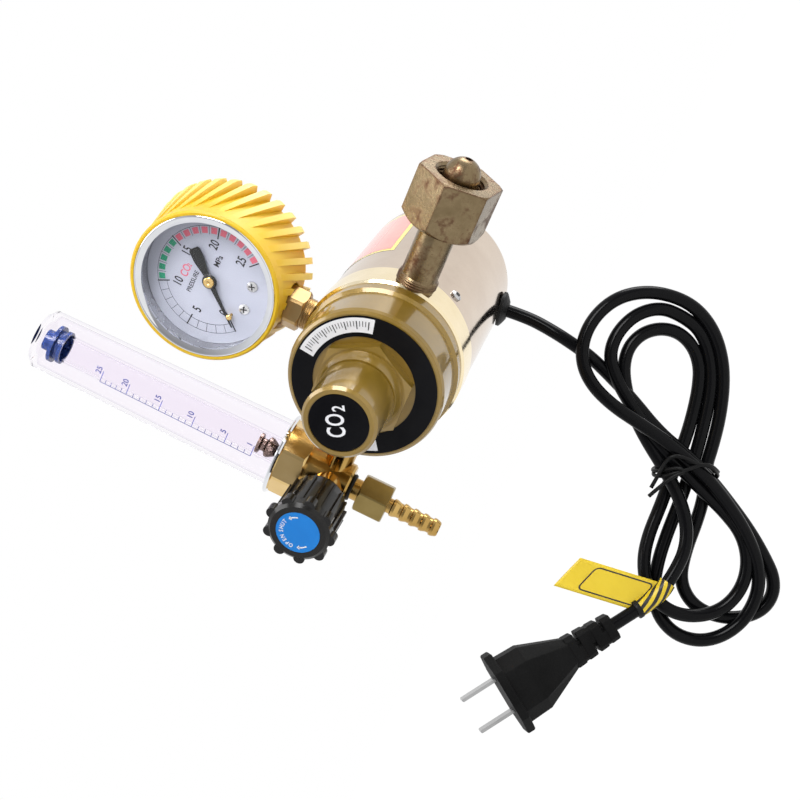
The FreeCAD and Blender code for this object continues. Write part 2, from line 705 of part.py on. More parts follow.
def radial(item, number, reach, back="shell_screw_back"):
    """Point an object outwards at one of three places round the shell."""
    angle = f"shell_screw_angle + {number} * 120"
    turn = math.radians(SIZES["shell_screw_angle"] + number * 120)
    outwards = FreeCAD.Vector(math.sin(turn), -math.cos(turn), 0)
    return place(item, outwards, x=f"({reach}) * sin({angle})", y=f"-({reach}) * cos({angle})", z=back)


def at_cord_exit(item, reach, back):
    """Point an object outwards where the cord leaves the shell, in the shell's own turning frame."""
    turn = math.radians(SIZES["grommet_angle"])
    outwards = FreeCAD.Vector(math.sin(turn), math.cos(turn), 0)
    return place(item, outwards, x=f"({reach}) * sin(grommet_angle)", y=f"({reach}) * cos(grommet_angle)", z=back)


def grommet():
    """Rubber grommet with a flange outside the shell and a lip inside it."""
    blank = turned("grommet_turned", [
        ("cord_radius", "0"), ("grommet_neck + 1.6", "0"), ("grommet_neck + 1.6", "grommet_inside - 0.6"),
        ("grommet_neck", "grommet_inside - 0.6"), ("grommet_neck", "grommet_inside + shell_wall"),
        ("grommet_flange", "grommet_inside + shell_wall"),
        ("grommet_flange", "grommet_inside + shell_wall + grommet_flange_thick"),
        ("grommet_flange - 1.4", "grommet_inside + shell_wall + grommet_flange_thick + 1"),
        ("cord_radius + 1.3", "grommet_inside + shell_wall + grommet_flange_thick + 2.4"),
        ("cord_radius", "grommet_inside + shell_wall + grommet_flange_thick + 2.4"),
    ])
    at_cord_exit(blank, "shell_radius - shell_wall - grommet_inside", "grommet_back")
    wall = turned("grommet_wall", [
        ("shell_radius - shell_wall", "grommet_back - 12"), ("shell_radius", "grommet_back - 12"),
        ("shell_radius", "grommet_back + 12"), ("shell_radius - shell_wall", "grommet_back + 12"),
    ])
    plugged = rod("grommet_hole_in_wall", "grommet_neck", "shell_wall * 6")
    at_cord_exit(plugged, "shell_radius - shell_wall * 4", "grommet_back")
    whole = cut("grommet_cut", blank, cut("grommet_wall_open", wall, plugged))
    node("cord_grommet", place(whole, BACK, x=BODY_X, y="body_half"))


def soften(body, radius, rings):
    """Round the circular edges of a turned body at (radius, height) places."""
    DOC.recompute()
    last = body.Tip
    names = []
    for index, edge in enumerate(last.Shape.Edges, 1):
        if not isinstance(edge.Curve, Part.Circle):
            continue
        for ring_radius, height in rings:
            if abs(edge.Curve.Radius - ring_radius) < 0.01 and abs(edge.Curve.Center.z - height) < 0.01:
                names.append(f"Edge{index}")
    fillet = body.newObject("PartDesign::Fillet", body.Name + "_rounding")
    fillet.Base = (last, names)
    fillet.setExpression("Radius", linked(radius))
    body.Tip = fillet
    return fillet


def gauge_place(item, back="0"):
    return place(item, BACK, x=BODY_X, y=f"-gauge_face + {back}", z="gauge_height")


def torus(name):
    """The ring that the gauge's coiled tube follows."""
    item = DOC.addObject("Part::Torus", name)
    item.setExpression("Radius1", linked("tube_coil_radius"))
    item.setExpression("Radius2", linked("tube_coil_wall"))
    return item


def gauge():
    """Pressure gauge: socket, coiled tube, case, dial, pointer, window and bezel."""
    socket_foot = "body_radius - port_depth"
    hexagon_foot = "port_depth + gauge_thread_shown"
    socket = fuse("gauge_socket_whole",
        turned("gauge_socket_turned", [
            ("0", "0"), ("gauge_thread_radius - 0.8", "0"), ("gauge_thread_radius", "0.8"),
            ("gauge_thread_radius", hexagon_foot), ("gauge_stem_flats / 2 - 1.5", hexagon_foot),
            ("gauge_stem_flats / 2 - 1.5", "gauge_neck_top"), ("0", "gauge_neck_top"),
        ]),
        hex_blank("gauge_socket_hexagon", [
            ("0", hexagon_foot), ("gauge_stem_flats / 2", hexagon_foot),
            ("gauge_stem_flats / 2 + 0.9", f"{hexagon_foot} + 0.8"),
            ("gauge_stem_flats / 2 + 0.9", f"{hexagon_foot} + gauge_stem_hex"), ("0", f"{hexagon_foot} + gauge_stem_hex"),
        ], "gauge_stem_flats", "gauge_stem_hex", hexagon_foot, turn=15))
    saddle = torus("gauge_socket_saddle")
    place(saddle, BACK, z="gauge_height - body_radius + port_depth")
    bored = cut("gauge_socket_bored", socket, saddle, rod("gauge_socket_bore", "gas_bore - 1", "gauge_neck_top - 2", "-1"))
    node("gauge_socket", place(bored, UP, x=BODY_X, z=socket_foot))

    tube = torus("bourdon_tube")
    tube.Angle3 = 250
    node("bourdon_tube", place(tube, BACK, x=BODY_X, z="gauge_height", turn=86))

    window_back = "bezel_wall + window_thick"
    case = turned("gauge_case_turned", [
        ("case_radius - case_wall", window_back), ("case_radius", window_back), ("case_radius", "case_depth + 3"),
        ("0", "case_depth + 3"), ("0", "case_depth + 3 - case_wall"),
        ("case_radius - case_wall", "case_depth + 3 - case_wall"),
    ])
    soften(case, "case_round", [(SIZES["case_radius"], SIZES["case_depth"] + 3)])
    stem_hole = rod("case_stem_hole", "gauge_stem_flats / 2 - 1.5 + running_gap", "12")
    place(stem_hole, FreeCAD.Vector(0, 1, 0), y="case_radius - 8", z="gauge_face")
    node("gauge_case", gauge_place(cut("gauge_case_cut", case, stem_hole)))

    plate = cut("gauge_dial_cut", turned("gauge_dial_turned", [
        ("arbor_radius + running_gap", "0"), ("dial_radius", "0"), ("dial_radius", "dial_thick"),
        ("arbor_radius + running_gap", "dial_thick"),
    ]), dial_pin("dial_stop_hole", "stop_radius"), dial_pin("dial_screw_hole_low", "dial_screw_shank", "-1"),
        dial_pin("dial_screw_hole_high", "dial_screw_shank", "1"))
    node("gauge_dial", gauge_place(plate, "dial_depth"))

    screws = []
    for number, side in enumerate(("-1", "1")):
        head = turned(f"dial_screw_{number}_turned", [
            ("0", "0"), ("dial_screw_radius", "0"), ("dial_screw_radius", "0.5"), ("dial_screw_radius * 0.6", "0.9"),
            ("0", "0.9"),
        ])
        shank = rod(f"dial_screw_{number}_shank", "dial_screw_shank", "3", "-3")
        slotted = cut(f"dial_screw_{number}_slotted", fuse(f"dial_screw_{number}_whole", head, shank),
                      block(f"dial_screw_{number}_slot", "dial_screw_radius * 2.4", "0.5", "1", ("0", "0", "0.5")))
        screws.append(place(slotted, DOWN, x=f"{side} * dial_screw_side", y="dial_screw_reach", turn=30 * number))
    node("dial_screws", gauge_place(group("dial_screws_all", screws), "dial_depth"))

    stop = turned("stop_pin_turned", [
        ("0", "0"), ("stop_radius", "0"), ("stop_radius", "dial_thick + pointer_lift + 1.2"),
        ("stop_radius - 0.25", "dial_thick + pointer_lift + 1.5"), ("0", "dial_thick + pointer_lift + 1.5"),
    ])
    place(stop, DOWN, x="-stop_reach * cos(stop_angle)", y="stop_reach * sin(stop_angle)", z="dial_thick")
    node("stop_pin", gauge_place(group("stop_pin_at_zero", [stop]), "dial_depth"))

    pointer = sketched_pad("gauge_pointer_blade", [
        ("-pointer_waist", "hub_cap_radius * 0.5"), ("-0.2", "pointer_length"), ("0.2", "pointer_length"),
        ("pointer_waist", "hub_cap_radius * 0.5"), ("pointer_waist", "-hub_cap_radius"),
        ("pointer_tail_half", "-pointer_tail * 0.62"), ("pointer_tail_half", "-pointer_tail + 1"),
        ("pointer_tail_half * 0.7", "-pointer_tail"), ("-pointer_tail_half * 0.7", "-pointer_tail"),
        ("-pointer_tail_half", "-pointer_tail + 1"), ("-pointer_tail_half", "-pointer_tail * 0.62"),
        ("-pointer_waist", "-hub_cap_radius"),
    ], "pointer_thick")
    disc = rod("pointer_boss", "hub_cap_radius", "pointer_thick")
    hole = rod("pointer_hole", "arbor_radius", "3", "-1")
    blade = cut("gauge_pointer_cut", fuse("gauge_pointer_whole", pointer, disc), hole)
    place(blade, UP, turn=45)
    node("gauge_pointer", gauge_place(group("gauge_pointer_at_zero", [blade]), "dial_depth - pointer_lift - pointer_thick"))
    arbor = turned("pointer_arbor", [
        ("0", "0"), ("hub_cap_radius * 0.8 - 0.5", "0"), ("hub_cap_radius * 0.8", "0.5"), ("hub_cap_radius * 0.8", "hub_cap"),
        ("arbor_radius", "hub_cap"), ("arbor_radius", "hub_cap + pointer_thick + pointer_lift + 8"),
        ("0", "hub_cap + pointer_thick + pointer_lift + 8"),
    ])
    node("pointer_arbor", gauge_place(arbor, "dial_depth - pointer_lift - pointer_thick - hub_cap"))

    glass = turned("gauge_window", [
        ("0", "0"), ("bezel_radius - bezel_wall", "0"), ("bezel_radius - bezel_wall", "window_thick"), ("0", "window_thick"),
    ])
    node("gauge_window", gauge_place(glass, "bezel_wall"))
    bezel = turned("gauge_bezel", [
        ("bezel_lip", "0"), ("bezel_radius - 0.9", "0"), ("bezel_radius", "0.9"), ("bezel_radius", "bezel_depth"),
        ("bezel_radius - bezel_wall", "bezel_depth"), ("bezel_radius - bezel_wall", "bezel_wall"), ("bezel_lip", "bezel_wall"),
    ])
    node("gauge_bezel", gauge_place(bezel))


def dial_pin(name, radius, side=None):
    """A cutter for a hole in the dial: the stop pin's, or a screw's on one side."""
    hole = rod(name, radius, "6", "-3")
    if side is None:
        return place(hole, UP, x="-stop_reach * cos(stop_angle)", y="stop_reach * sin(stop_angle)", z="-3")
    return place(hole, UP, x=f"{side} * dial_screw_side", y="dial_screw_reach", z="-3")


def sketched_pad(name, corners, thick):
    body = DOC.addObject("PartDesign::Body", name)
    sketch = sketched(body, name + "_outline", "XY_Plane", corners)
    pad = body.newObject("PartDesign::Pad", name + "_pad")
    pad.Profile = sketch
    pad.setExpression("Length", linked(thick))
    body.Tip = pad
    return body


def patterned(body, feature, count):
    pattern = body.newObject("PartDesign::PolarPattern", body.Name + "_" + feature.Name + "_ring")
    pattern.Originals = [feature]
    pattern.Axis = (plane(body, "Z_Axis"), [""])
    pattern.Angle = 360
    pattern.setExpression("Occurrences", linked(count))
    body.Tip = pattern
    return pattern


def gauge_boot():
    """Rubber boot: a snug sleeve with slanted fins that rise towards the back."""
    back = "case_depth + 3 + boot_back"
    outer = "bezel_radius + boot_wall"
    body = turned("gauge_boot_sleeve", [
        ("bezel_radius", "-boot_lip"), (f"{outer} - 0.8", "-boot_lip"), (outer, "-boot_lip + 0.8"), (outer, back),
        ("case_radius * 0.62", back), ("case_radius * 0.62", "case_depth + 3"), ("case_radius", "case_depth + 3"),
        ("case_radius", "bezel_depth"), ("bezel_radius", "bezel_depth"),
    ])
    profile = body.newObject("Sketcher::SketchObject", "fin_profile")
    profile.AttachmentSupport = [(plane(body, "YZ_Plane"), "")]
    profile.MapMode = "FlatFace"
    profile.setExpression("AttachmentOffset.Base.z", linked(f"{outer} - boot_wall * 0.5"))
    half = "fin_width / 2"
    outline(profile, [
        (f"{half} - fin_slant / 2", "fin_start"), (f"{half} + fin_slant / 2", f"{back}"),
        (f"-({half}) + fin_slant / 2", f"{back}"), (f"-({half}) - fin_slant / 2", "fin_start"),
    ])
    fin = body.newObject("PartDesign::Pad", "fin")
    fin.Profile = profile
    fin.setExpression("Length", linked("fin_height + boot_wall * 0.5"))
    body.Tip = fin
    patterned(body, fin, "fin_count")
    envelope = turned("fin_envelope", [
        ("0", "-boot_lip"), (outer, "-boot_lip"), (outer, "fin_start"), (f"{outer} + fin_height", f"{back} - 3"),
        (f"{outer} + fin_height - 0.6", back), ("0", back),
    ])
    opening = rod("boot_stem_hole", "gauge_stem_flats / 2 + 1.8", "20")
    place(opening, BACK, y="case_radius - 6", z="gauge_face")
    node("gauge_boot", gauge_place(cut("gauge_boot_cut", common("gauge_boot_trimmed", body, envelope), opening)))


def flow_parts():
    """Brass block, link pipe, tube nut, chrome ring, cover, metering tube, float and seals."""
    body = turned("flow_block_turned", [
        ("0", "0"), ("outlet_thread_radius", "0"), ("outlet_thread_radius", "outlet_thread"),
        ("block_radius - 1", "outlet_thread"), ("block_radius", "outlet_thread + 1"),
        ("block_radius", "outlet_thread + block_low + block_high"), ("flow_spigot", "outlet_thread + block_low + block_high"),
        ("flow_spigot", "outlet_thread + block_low + block_high + flow_nut - flow_nut_floor"),
        ("0", "outlet_thread + block_low + block_high + flow_nut - flow_nut_floor"),
    ])
    middle = "outlet_thread + block_low"
    nose = rod("valve_neck", "valve_neck_radius", "block_radius + valve_neck")
    place(nose, FRONT, z=middle)
    spindle_way = rod("spindle_way", "spindle_radius + running_gap", "block_radius + valve_neck + 1")
    place(spindle_way, FRONT, z=middle)
    packing_room = rod("packing_room", "packing_radius", "packing_length + 1")
    place(packing_room, FRONT, y="-(block_radius + valve_neck - packing_length)", z=middle)
    link_socket = rod("link_socket", "neck_radius", "link_depth + 1")
    place(link_socket, OUT_OF_INLET, x="block_radius - link_depth", z=middle)
    link_way = rod("link_way", "gas_bore", "block_radius")
    place(link_way, OUT_OF_INLET, z=middle)
    tube_socket = rod("tube_socket", "tube_radius + tube_clearance", "flow_nut + 20", f"{middle} + block_high + tube_seat - tube_seal")
    rise = rod("flow_gas_rise", "gas_bore", "block_high + flow_nut", middle)
    outlet_way = rod("outlet_way", "barb_bore", middle, "-1")
    block_whole = cut("flow_block_cut", fuse("flow_block_whole", body, nose), spindle_way, packing_room, link_socket,
                      link_way, tube_socket, rise, outlet_way)
    node("flow_block", place(block_whole, UP, x=FLOW_X, z="-block_low - outlet_thread"))

    link = turned("link_pipe", [
        ("gas_bore", "0"), ("neck_radius", "0"), ("neck_radius", "flow_reach - block_radius + link_depth - body_radius + port_depth"),
        ("gas_bore", "flow_reach - block_radius + link_depth - body_radius + port_depth"),
    ])
    node("link_pipe", place(link, TO_FLOW, x=f"{BODY_X} - body_radius + port_depth"))

    top = "flow_nut"
    nut = cut("flow_nut_cut", hex_blank("flow_nut_hexagon", [
        ("0", "0"), ("flow_nut_flats / 2", "0"), ("flow_nut_flats / 2 + 1.1", "0.9"),
        ("flow_nut_flats / 2 + 1.1", "flow_nut - 0.7"), ("flow_nut_flats / 2 + 0.3", top), ("0", top),
    ], "flow_nut_flats", "flow_nut", turn=38, sides=8),
        rod("flow_nut_bore", "flow_spigot", "flow_nut - flow_nut_floor + 1", "-1"),
        rod("flow_nut_way", "tube_radius + running_gap", "flow_nut + 2", "-1"))
    node("flow_nut", place(nut, UP, x=FLOW_X, z="block_high"))
    seal = turned("tube_seal", [
        ("tube_radius - tube_wall", "0"), ("tube_radius + tube_clearance", "0"),
        ("tube_radius + tube_clearance", "tube_seal"), ("tube_radius - tube_wall", "tube_seal"),
    ])
    node("tube_seal", place(seal, UP, x=FLOW_X, z="block_high + tube_seat - tube_seal"))

    ring = turned("cover_ring", [
        ("tube_radius + running_gap", "0"), ("ring_radius - 0.7", "0"), ("ring_radius", "0.7"),
        ("ring_radius", "ring_thick - 0.5"), ("ring_radius - 0.5", "ring_thick"), ("tube_radius + running_gap", "ring_thick"),
    ])
    node("cover_ring", place(ring, UP, x=FLOW_X, z="block_high + flow_nut"))
    cover_foot = "block_high + flow_nut + ring_thick"
    cover = turned("flow_cover", [
        ("cover_base_radius - cover_wall", "0"), ("cover_base_radius", "0"), ("cover_top_radius", "cover_length - cover_round"),
        ("cover_top_radius - cover_round", "cover_length"), ("0", "cover_length"), ("0", "cover_length - cover_top_wall"),
        ("cover_top_radius - cover_wall - cover_round", "cover_length - cover_top_wall"),
        ("cover_top_radius - cover_wall", "cover_length - cover_top_wall - cover_round"),
    ])
    node("flow_cover", place(cover, UP, x=FLOW_X, z=cover_foot))
    tube = turned("metering_tube", [
        ("tube_radius - tube_wall", "0"), ("tube_radius", "0"), ("tube_radius", "tube_length"), ("tube_radius - tube_wall", "tube_length"),
    ])
    node("metering_tube", place(tube, UP, x=FLOW_X, z="block_high + tube_seat"))
    tube_top = "block_high + tube_seat + tube_length"
    plug_top = f"({cover_foot} + cover_length - cover_top_wall)"
    plug_rise = f"{plug_top} - ({tube_top} - tube_plug_cup)"
    plug = turned("tube_plug", [
        ("tube_radius", "0"), ("tube_plug_radius", "0"), ("tube_plug_radius", "1.6"), ("tube_plug_radius - 1", "1.6"),
        ("tube_plug_radius - 1", "tube_plug_cup - 1"), ("tube_plug_radius + 1", "tube_plug_cup - 1"),
        ("tube_plug_radius + 1", "tube_plug_cup + 0.8"), ("tube_plug_neck", "tube_plug_cup + 0.8"),
        ("tube_plug_neck", f"{plug_rise}"), ("0", f"{plug_rise}"), ("0", "tube_plug_cup"), ("tube_radius", "tube_plug_cup"),
    ])
    node("tube_plug", place(plug, UP, x=FLOW_X, z=f"{tube_top} - tube_plug_cup"))

    bob = turned("flow_float", [
        ("0", "0"), ("float_radius - 2", "0"), ("float_radius", "float_length * 0.35"), ("float_radius", "float_length * 0.5"),
        ("float_radius * 0.62", "float_length * 0.62"), ("float_radius * 0.62", "float_length * 0.78"),
        ("float_radius", "float_length * 0.86"), ("float_radius", "float_length"), ("0", "float_length"),
    ])
    node("flow_float", place(bob, UP, x=FLOW_X, z=f"{cover_foot} + float_rest"))
    rest = turned("float_rest", [
        ("gas_bore * 0.5", "0"), ("tube_radius - tube_wall", "0"), ("tube_radius - tube_wall", "1.5"),
        ("gas_bore * 0.5 + 1.2", f"{cover_foot} + float_rest - block_high - tube_seat - float_gap"),
        ("gas_bore * 0.5", f"{cover_foot} + float_rest - block_high - tube_seat - float_gap"),
    ])
    node("float_rest", place(rest, UP, x=FLOW_X, z="block_high + tube_seat"))


def needle_valve():
    """Packing, gland nut, needle spindle, and the lobed knob with its disc."""
    packing = turned("spindle_packing", [
        ("spindle_radius + running_gap", "0"), ("packing_radius", "0"), ("packing_radius", "packing_length - 1"),
        ("spindle_radius + running_gap", "packing_length - 1"),
    ])
    neck_end = "(block_radius + valve_neck)"
    node("spindle_packing", place(packing, FRONT, x=FLOW_X, y=f"-{neck_end} + packing_length"))
    gland = cut("gland_nut_cut", fuse("gland_nut_whole",
        hex_blank("gland_nut_hexagon", [
            ("0", "0"), ("gland_flats / 2", "0"), ("gland_flats / 2 + 0.9", "0.7"), ("gland_flats / 2 + 0.9", "gland - 0.7"),
            ("gland_flats / 2", "gland"), ("0", "gland"),
        ], "gland_flats", "gland"), rod("gland_spigot", "packing_radius", "2", "-1")),
        rod("gland_way", "spindle_radius + running_gap", "gland + 4", "-2"))
    node("gland_nut", place(gland, FRONT, x=FLOW_X, y=f"-{neck_end}"))

    needle = turned("valve_spindle", [
        ("0", "0"), ("spindle_radius", "needle_point"), ("spindle_radius", "spindle_length"), ("0", "spindle_length"),
    ])
    node("valve_spindle", place(needle, FRONT, x=FLOW_X, y="-knob_front + spindle_length + 3"))

    knob_back = "-knob_front + knob_length"
    body = turned("knob_body", [
        ("spindle_radius", "knob_skirt"), ("spindle_radius * 2", "knob_skirt"), ("spindle_radius * 2", "knob_length - 6"),
        ("knob_back_radius - knob_wall", "knob_length - 6"), ("knob_back_radius - knob_wall", "0"),
        ("knob_back_radius - 0.8", "0"), ("knob_back_radius", "knob_back_edge * 0.5"), ("knob_radius", "knob_back_edge * 2"),
        ("knob_radius", "knob_length - knob_flange"), ("knob_flange_radius", "knob_length - knob_flange"),
        ("knob_flange_radius", "knob_length - 1.4"), ("knob_flange_radius - 1.6", "knob_length"),
        ("disc_radius + 0.1", "knob_length"), ("disc_radius + 0.1", "knob_length - disc_thick"),
        ("0", "knob_length - disc_thick"), ("0", "knob_length - 3"), ("spindle_radius", "knob_length - 3"),
    ])
    rib_sketch = body.newObject("Sketcher::SketchObject", "rib_profile")
    rib_sketch.AttachmentSupport = [(plane(body, "XY_Plane"), "")]
    rib_sketch.MapMode = "FlatFace"
    rib_sketch.setExpression("AttachmentOffset.Base.z", linked("knob_back_edge"))
    outline(rib_sketch, [
        ("knob_back_radius - 1", "-flute_width / 2"), ("knob_radius + flute_height", "-flute_width / 2 + 0.3"),
        ("knob_radius + flute_height", "flute_width / 2 - 0.3"), ("knob_back_radius - 1", "flute_width / 2"),
    ])
    rib = body.newObject("PartDesign::Pad", "knob_rib")
    rib.Profile = rib_sketch
    rib.setExpression("Length", linked("knob_length - knob_flange - knob_back_edge + 0.5"))
    body.Tip = rib
    patterned(body, rib, "flute_count")
    lobe_sketch = body.newObject("Sketcher::SketchObject", "lobe_profile")
    lobe_sketch.AttachmentSupport = [(plane(body, "XY_Plane"), "")]
    lobe_sketch.MapMode = "FlatFace"
    lobe_sketch.setExpression("AttachmentOffset.Base.z", linked("knob_length - knob_flange"))
    lobe_sketch.addGeometry(Part.Circle(FreeCAD.Vector(40, 5, 0), FreeCAD.Vector(0, 0, 1), 3), False)
    lobe_sketch.addConstraint(Sketcher.Constraint("PointOnObject", 0, 3, -1))
    reach = lobe_sketch.addConstraint(Sketcher.Constraint("DistanceX", -1, 1, 0, 3, 40))
    lobe_sketch.renameConstraint(reach, "reach")
    lobe_sketch.setExpression("Constraints.reach", linked("lobe_reach"))
    width = lobe_sketch.addConstraint(Sketcher.Constraint("Radius", 0, 3))
    lobe_sketch.renameConstraint(width, "lobe")
    lobe_sketch.setExpression("Constraints.lobe", linked("lobe_radius"))
    lobe = body.newObject("PartDesign::Pad", "knob_lobe")
    lobe.Profile = lobe_sketch
    lobe.setExpression("Length", linked("knob_flange - 1.2"))
    body.Tip = lobe
    patterned(body, lobe, "knob_lobes")
    node("valve_knob", place(body, FRONT, x=FLOW_X, y=knob_back))
    disc = turned("knob_disc", [
        ("0", "0"), ("disc_radius", "0"), ("disc_radius", "disc_thick"), ("0", "disc_thick"),
    ])
    node("knob_disc", place(disc, FRONT, x=FLOW_X, y="-knob_front + disc_thick"))


def outlet():
    """Seal, union nut and hose barb under the flow block."""
    start = "block_low"
    ring = turned("outlet_seal", [
        ("outlet_thread_radius", "0"), ("outlet_thread_radius + 0.9", "0"), ("outlet_thread_radius + 1.4", "0.9"),
        ("outlet_thread_radius + 0.9", "1.8"), ("outlet_thread_radius", "1.8"),
    ])
    node("outlet_seal", place(ring, DOWN, x=FLOW_X, z=f"-{start}"))
    nut = cut("outlet_nut_cut", hex_blank("outlet_nut_hexagon", [
        ("0", "0"), ("outlet_nut_flats / 2", "0"), ("outlet_nut_flats / 2 + 1.1", "0.8"),
        ("outlet_nut_flats / 2 + 1.1", "outlet_nut - 0.6"), ("outlet_nut_flats / 2 + 0.3", "outlet_nut"), ("0", "outlet_nut"),
    ], "outlet_nut_flats", "outlet_nut", turn=2),
        rod("outlet_nut_thread", "outlet_thread_radius", "outlet_thread - outlet_gap + 1", "-1"),
        rod("outlet_nut_room", "outlet_thread_radius + 0.6", "barb_flange + soft_gap", "outlet_thread - outlet_gap"),
        rod("outlet_nut_way", "barb_root_radius + 0.9", "outlet_nut + 2", "-1"))
    node("outlet_nut", place(nut, DOWN, x=FLOW_X, z=f"-{start} - outlet_gap"))
    rows = [("barb_bore", "0"), ("outlet_thread_radius + 0.4", "0"), ("outlet_thread_radius + 0.4", "barb_flange"),
            ("barb_root_radius", "barb_flange")]
    tail = "barb_flange + outlet_nut - (outlet_thread - outlet_gap) - barb_flange"
    for number in range(SIZES["barb_count"]):
        rows.append(("barb_root_radius", f"{tail} + 0.6 + {number} * barb_step + barb_step * 0.25"))
        rows.append(("barb_radius", f"{tail} + 0.6 + {number} * barb_step + barb_step * 0.35"))
        rows.append(("barb_radius", f"{tail} + 0.6 + {number} * barb_step + barb_step * 0.6"))
        rows.append(("barb_root_radius", f"{tail} + 0.6 + {number + 1} * barb_step"))
    rows.append(("barb_root_radius - 0.5", f"{tail} + 0.6 + barb_count * barb_step + 0.5"))
    rows.append(("barb_bore", f"{tail} + 0.6 + barb_count * barb_step + 0.5"))
    node("hose_barb", place(turned("hose_barb_turned", rows), DOWN, x=FLOW_X, z=f"-{start} - outlet_thread"))


# The cord hangs beside the part. Its points are (across, up, out) from the tie, in the hank's own plane.
HANK_ACROSS = FreeCAD.Vector(0.353, 0.257, -0.900).normalize()
HANK_OUT = FreeCAD.Vector(0.496, -0.867, -0.053).normalize()
HANK_UP = HANK_OUT.cross(HANK_ACROSS).normalize()
HANK_TIE = (-18.7, -21.7, -110.7)
HANK_EDGE = [(-14, 14), (-33, 32), (-51, 53), (-48, 72), (-20, 86), (8, 74), (20, 45), (14, 5),
             (29, -33), (43, -56), (32, -73), (8, -82), (-13, -73), (-23, -49), (-13, -14)]
LEAD_ROUTE = [(-60, 65.3, -4), (-46.5, 56, -2)]
TAIL_END = (-35.3, -71.6, 12.3)
PLUG_AXIS = (-0.85, -0.51, 0.13)


def cord_exit():
    """The middle of the shell behind the grommet."""
    return FreeCAD.Vector(-value("nipple_reach"), value("body_half") + value("grommet_back"), 0)


def hank_point(across, up, out=0.0):
    """A point of the hank. The tie keeps its place from the cord's exit and the shell's side."""
    tie = cord_exit() + FreeCAD.Vector(HANK_TIE) - UP * value("shell_radius")
    return tie + HANK_ACROSS * across + HANK_UP * up + HANK_OUT * out


def made(name, shape):
    item = DOC.addObject("Part::Feature", name)
    item.Shape = shape
    return node(name, item)


def cord_tube(name, points):
    """A round tube of straight runs joined by tangent arcs, each as large as its runs allow."""
    edges = []
    begin = points[0]
    for before, corner, after in zip(points, points[1:], points[2:]):
        into = (corner - before).normalize()
        away = (after - corner).normalize()
        turn = into.getAngle(away)
        setback = 0.45 * min((corner - before).Length, (after - corner).Length)
        radius = setback / math.tan(turn / 2)
        first = corner - into * setback
        last = corner + away * setback
        middle = corner + (away - into).normalize() * (radius / math.cos(turn / 2) - radius)
        edges.append(Part.LineSegment(begin, first).toShape())
        edges.append(Part.Arc(first, middle, last).toShape())
        begin = last
    edges.append(Part.LineSegment(begin, points[-1]).toShape())
    path = Part.Wire(edges)
    circle = Part.makeCircle(SIZES["cord_radius"], points[0], points[1] - points[0])
    tube = path.makePipeShell([Part.Wire([circle])], True, True)
    return made(name, tube)


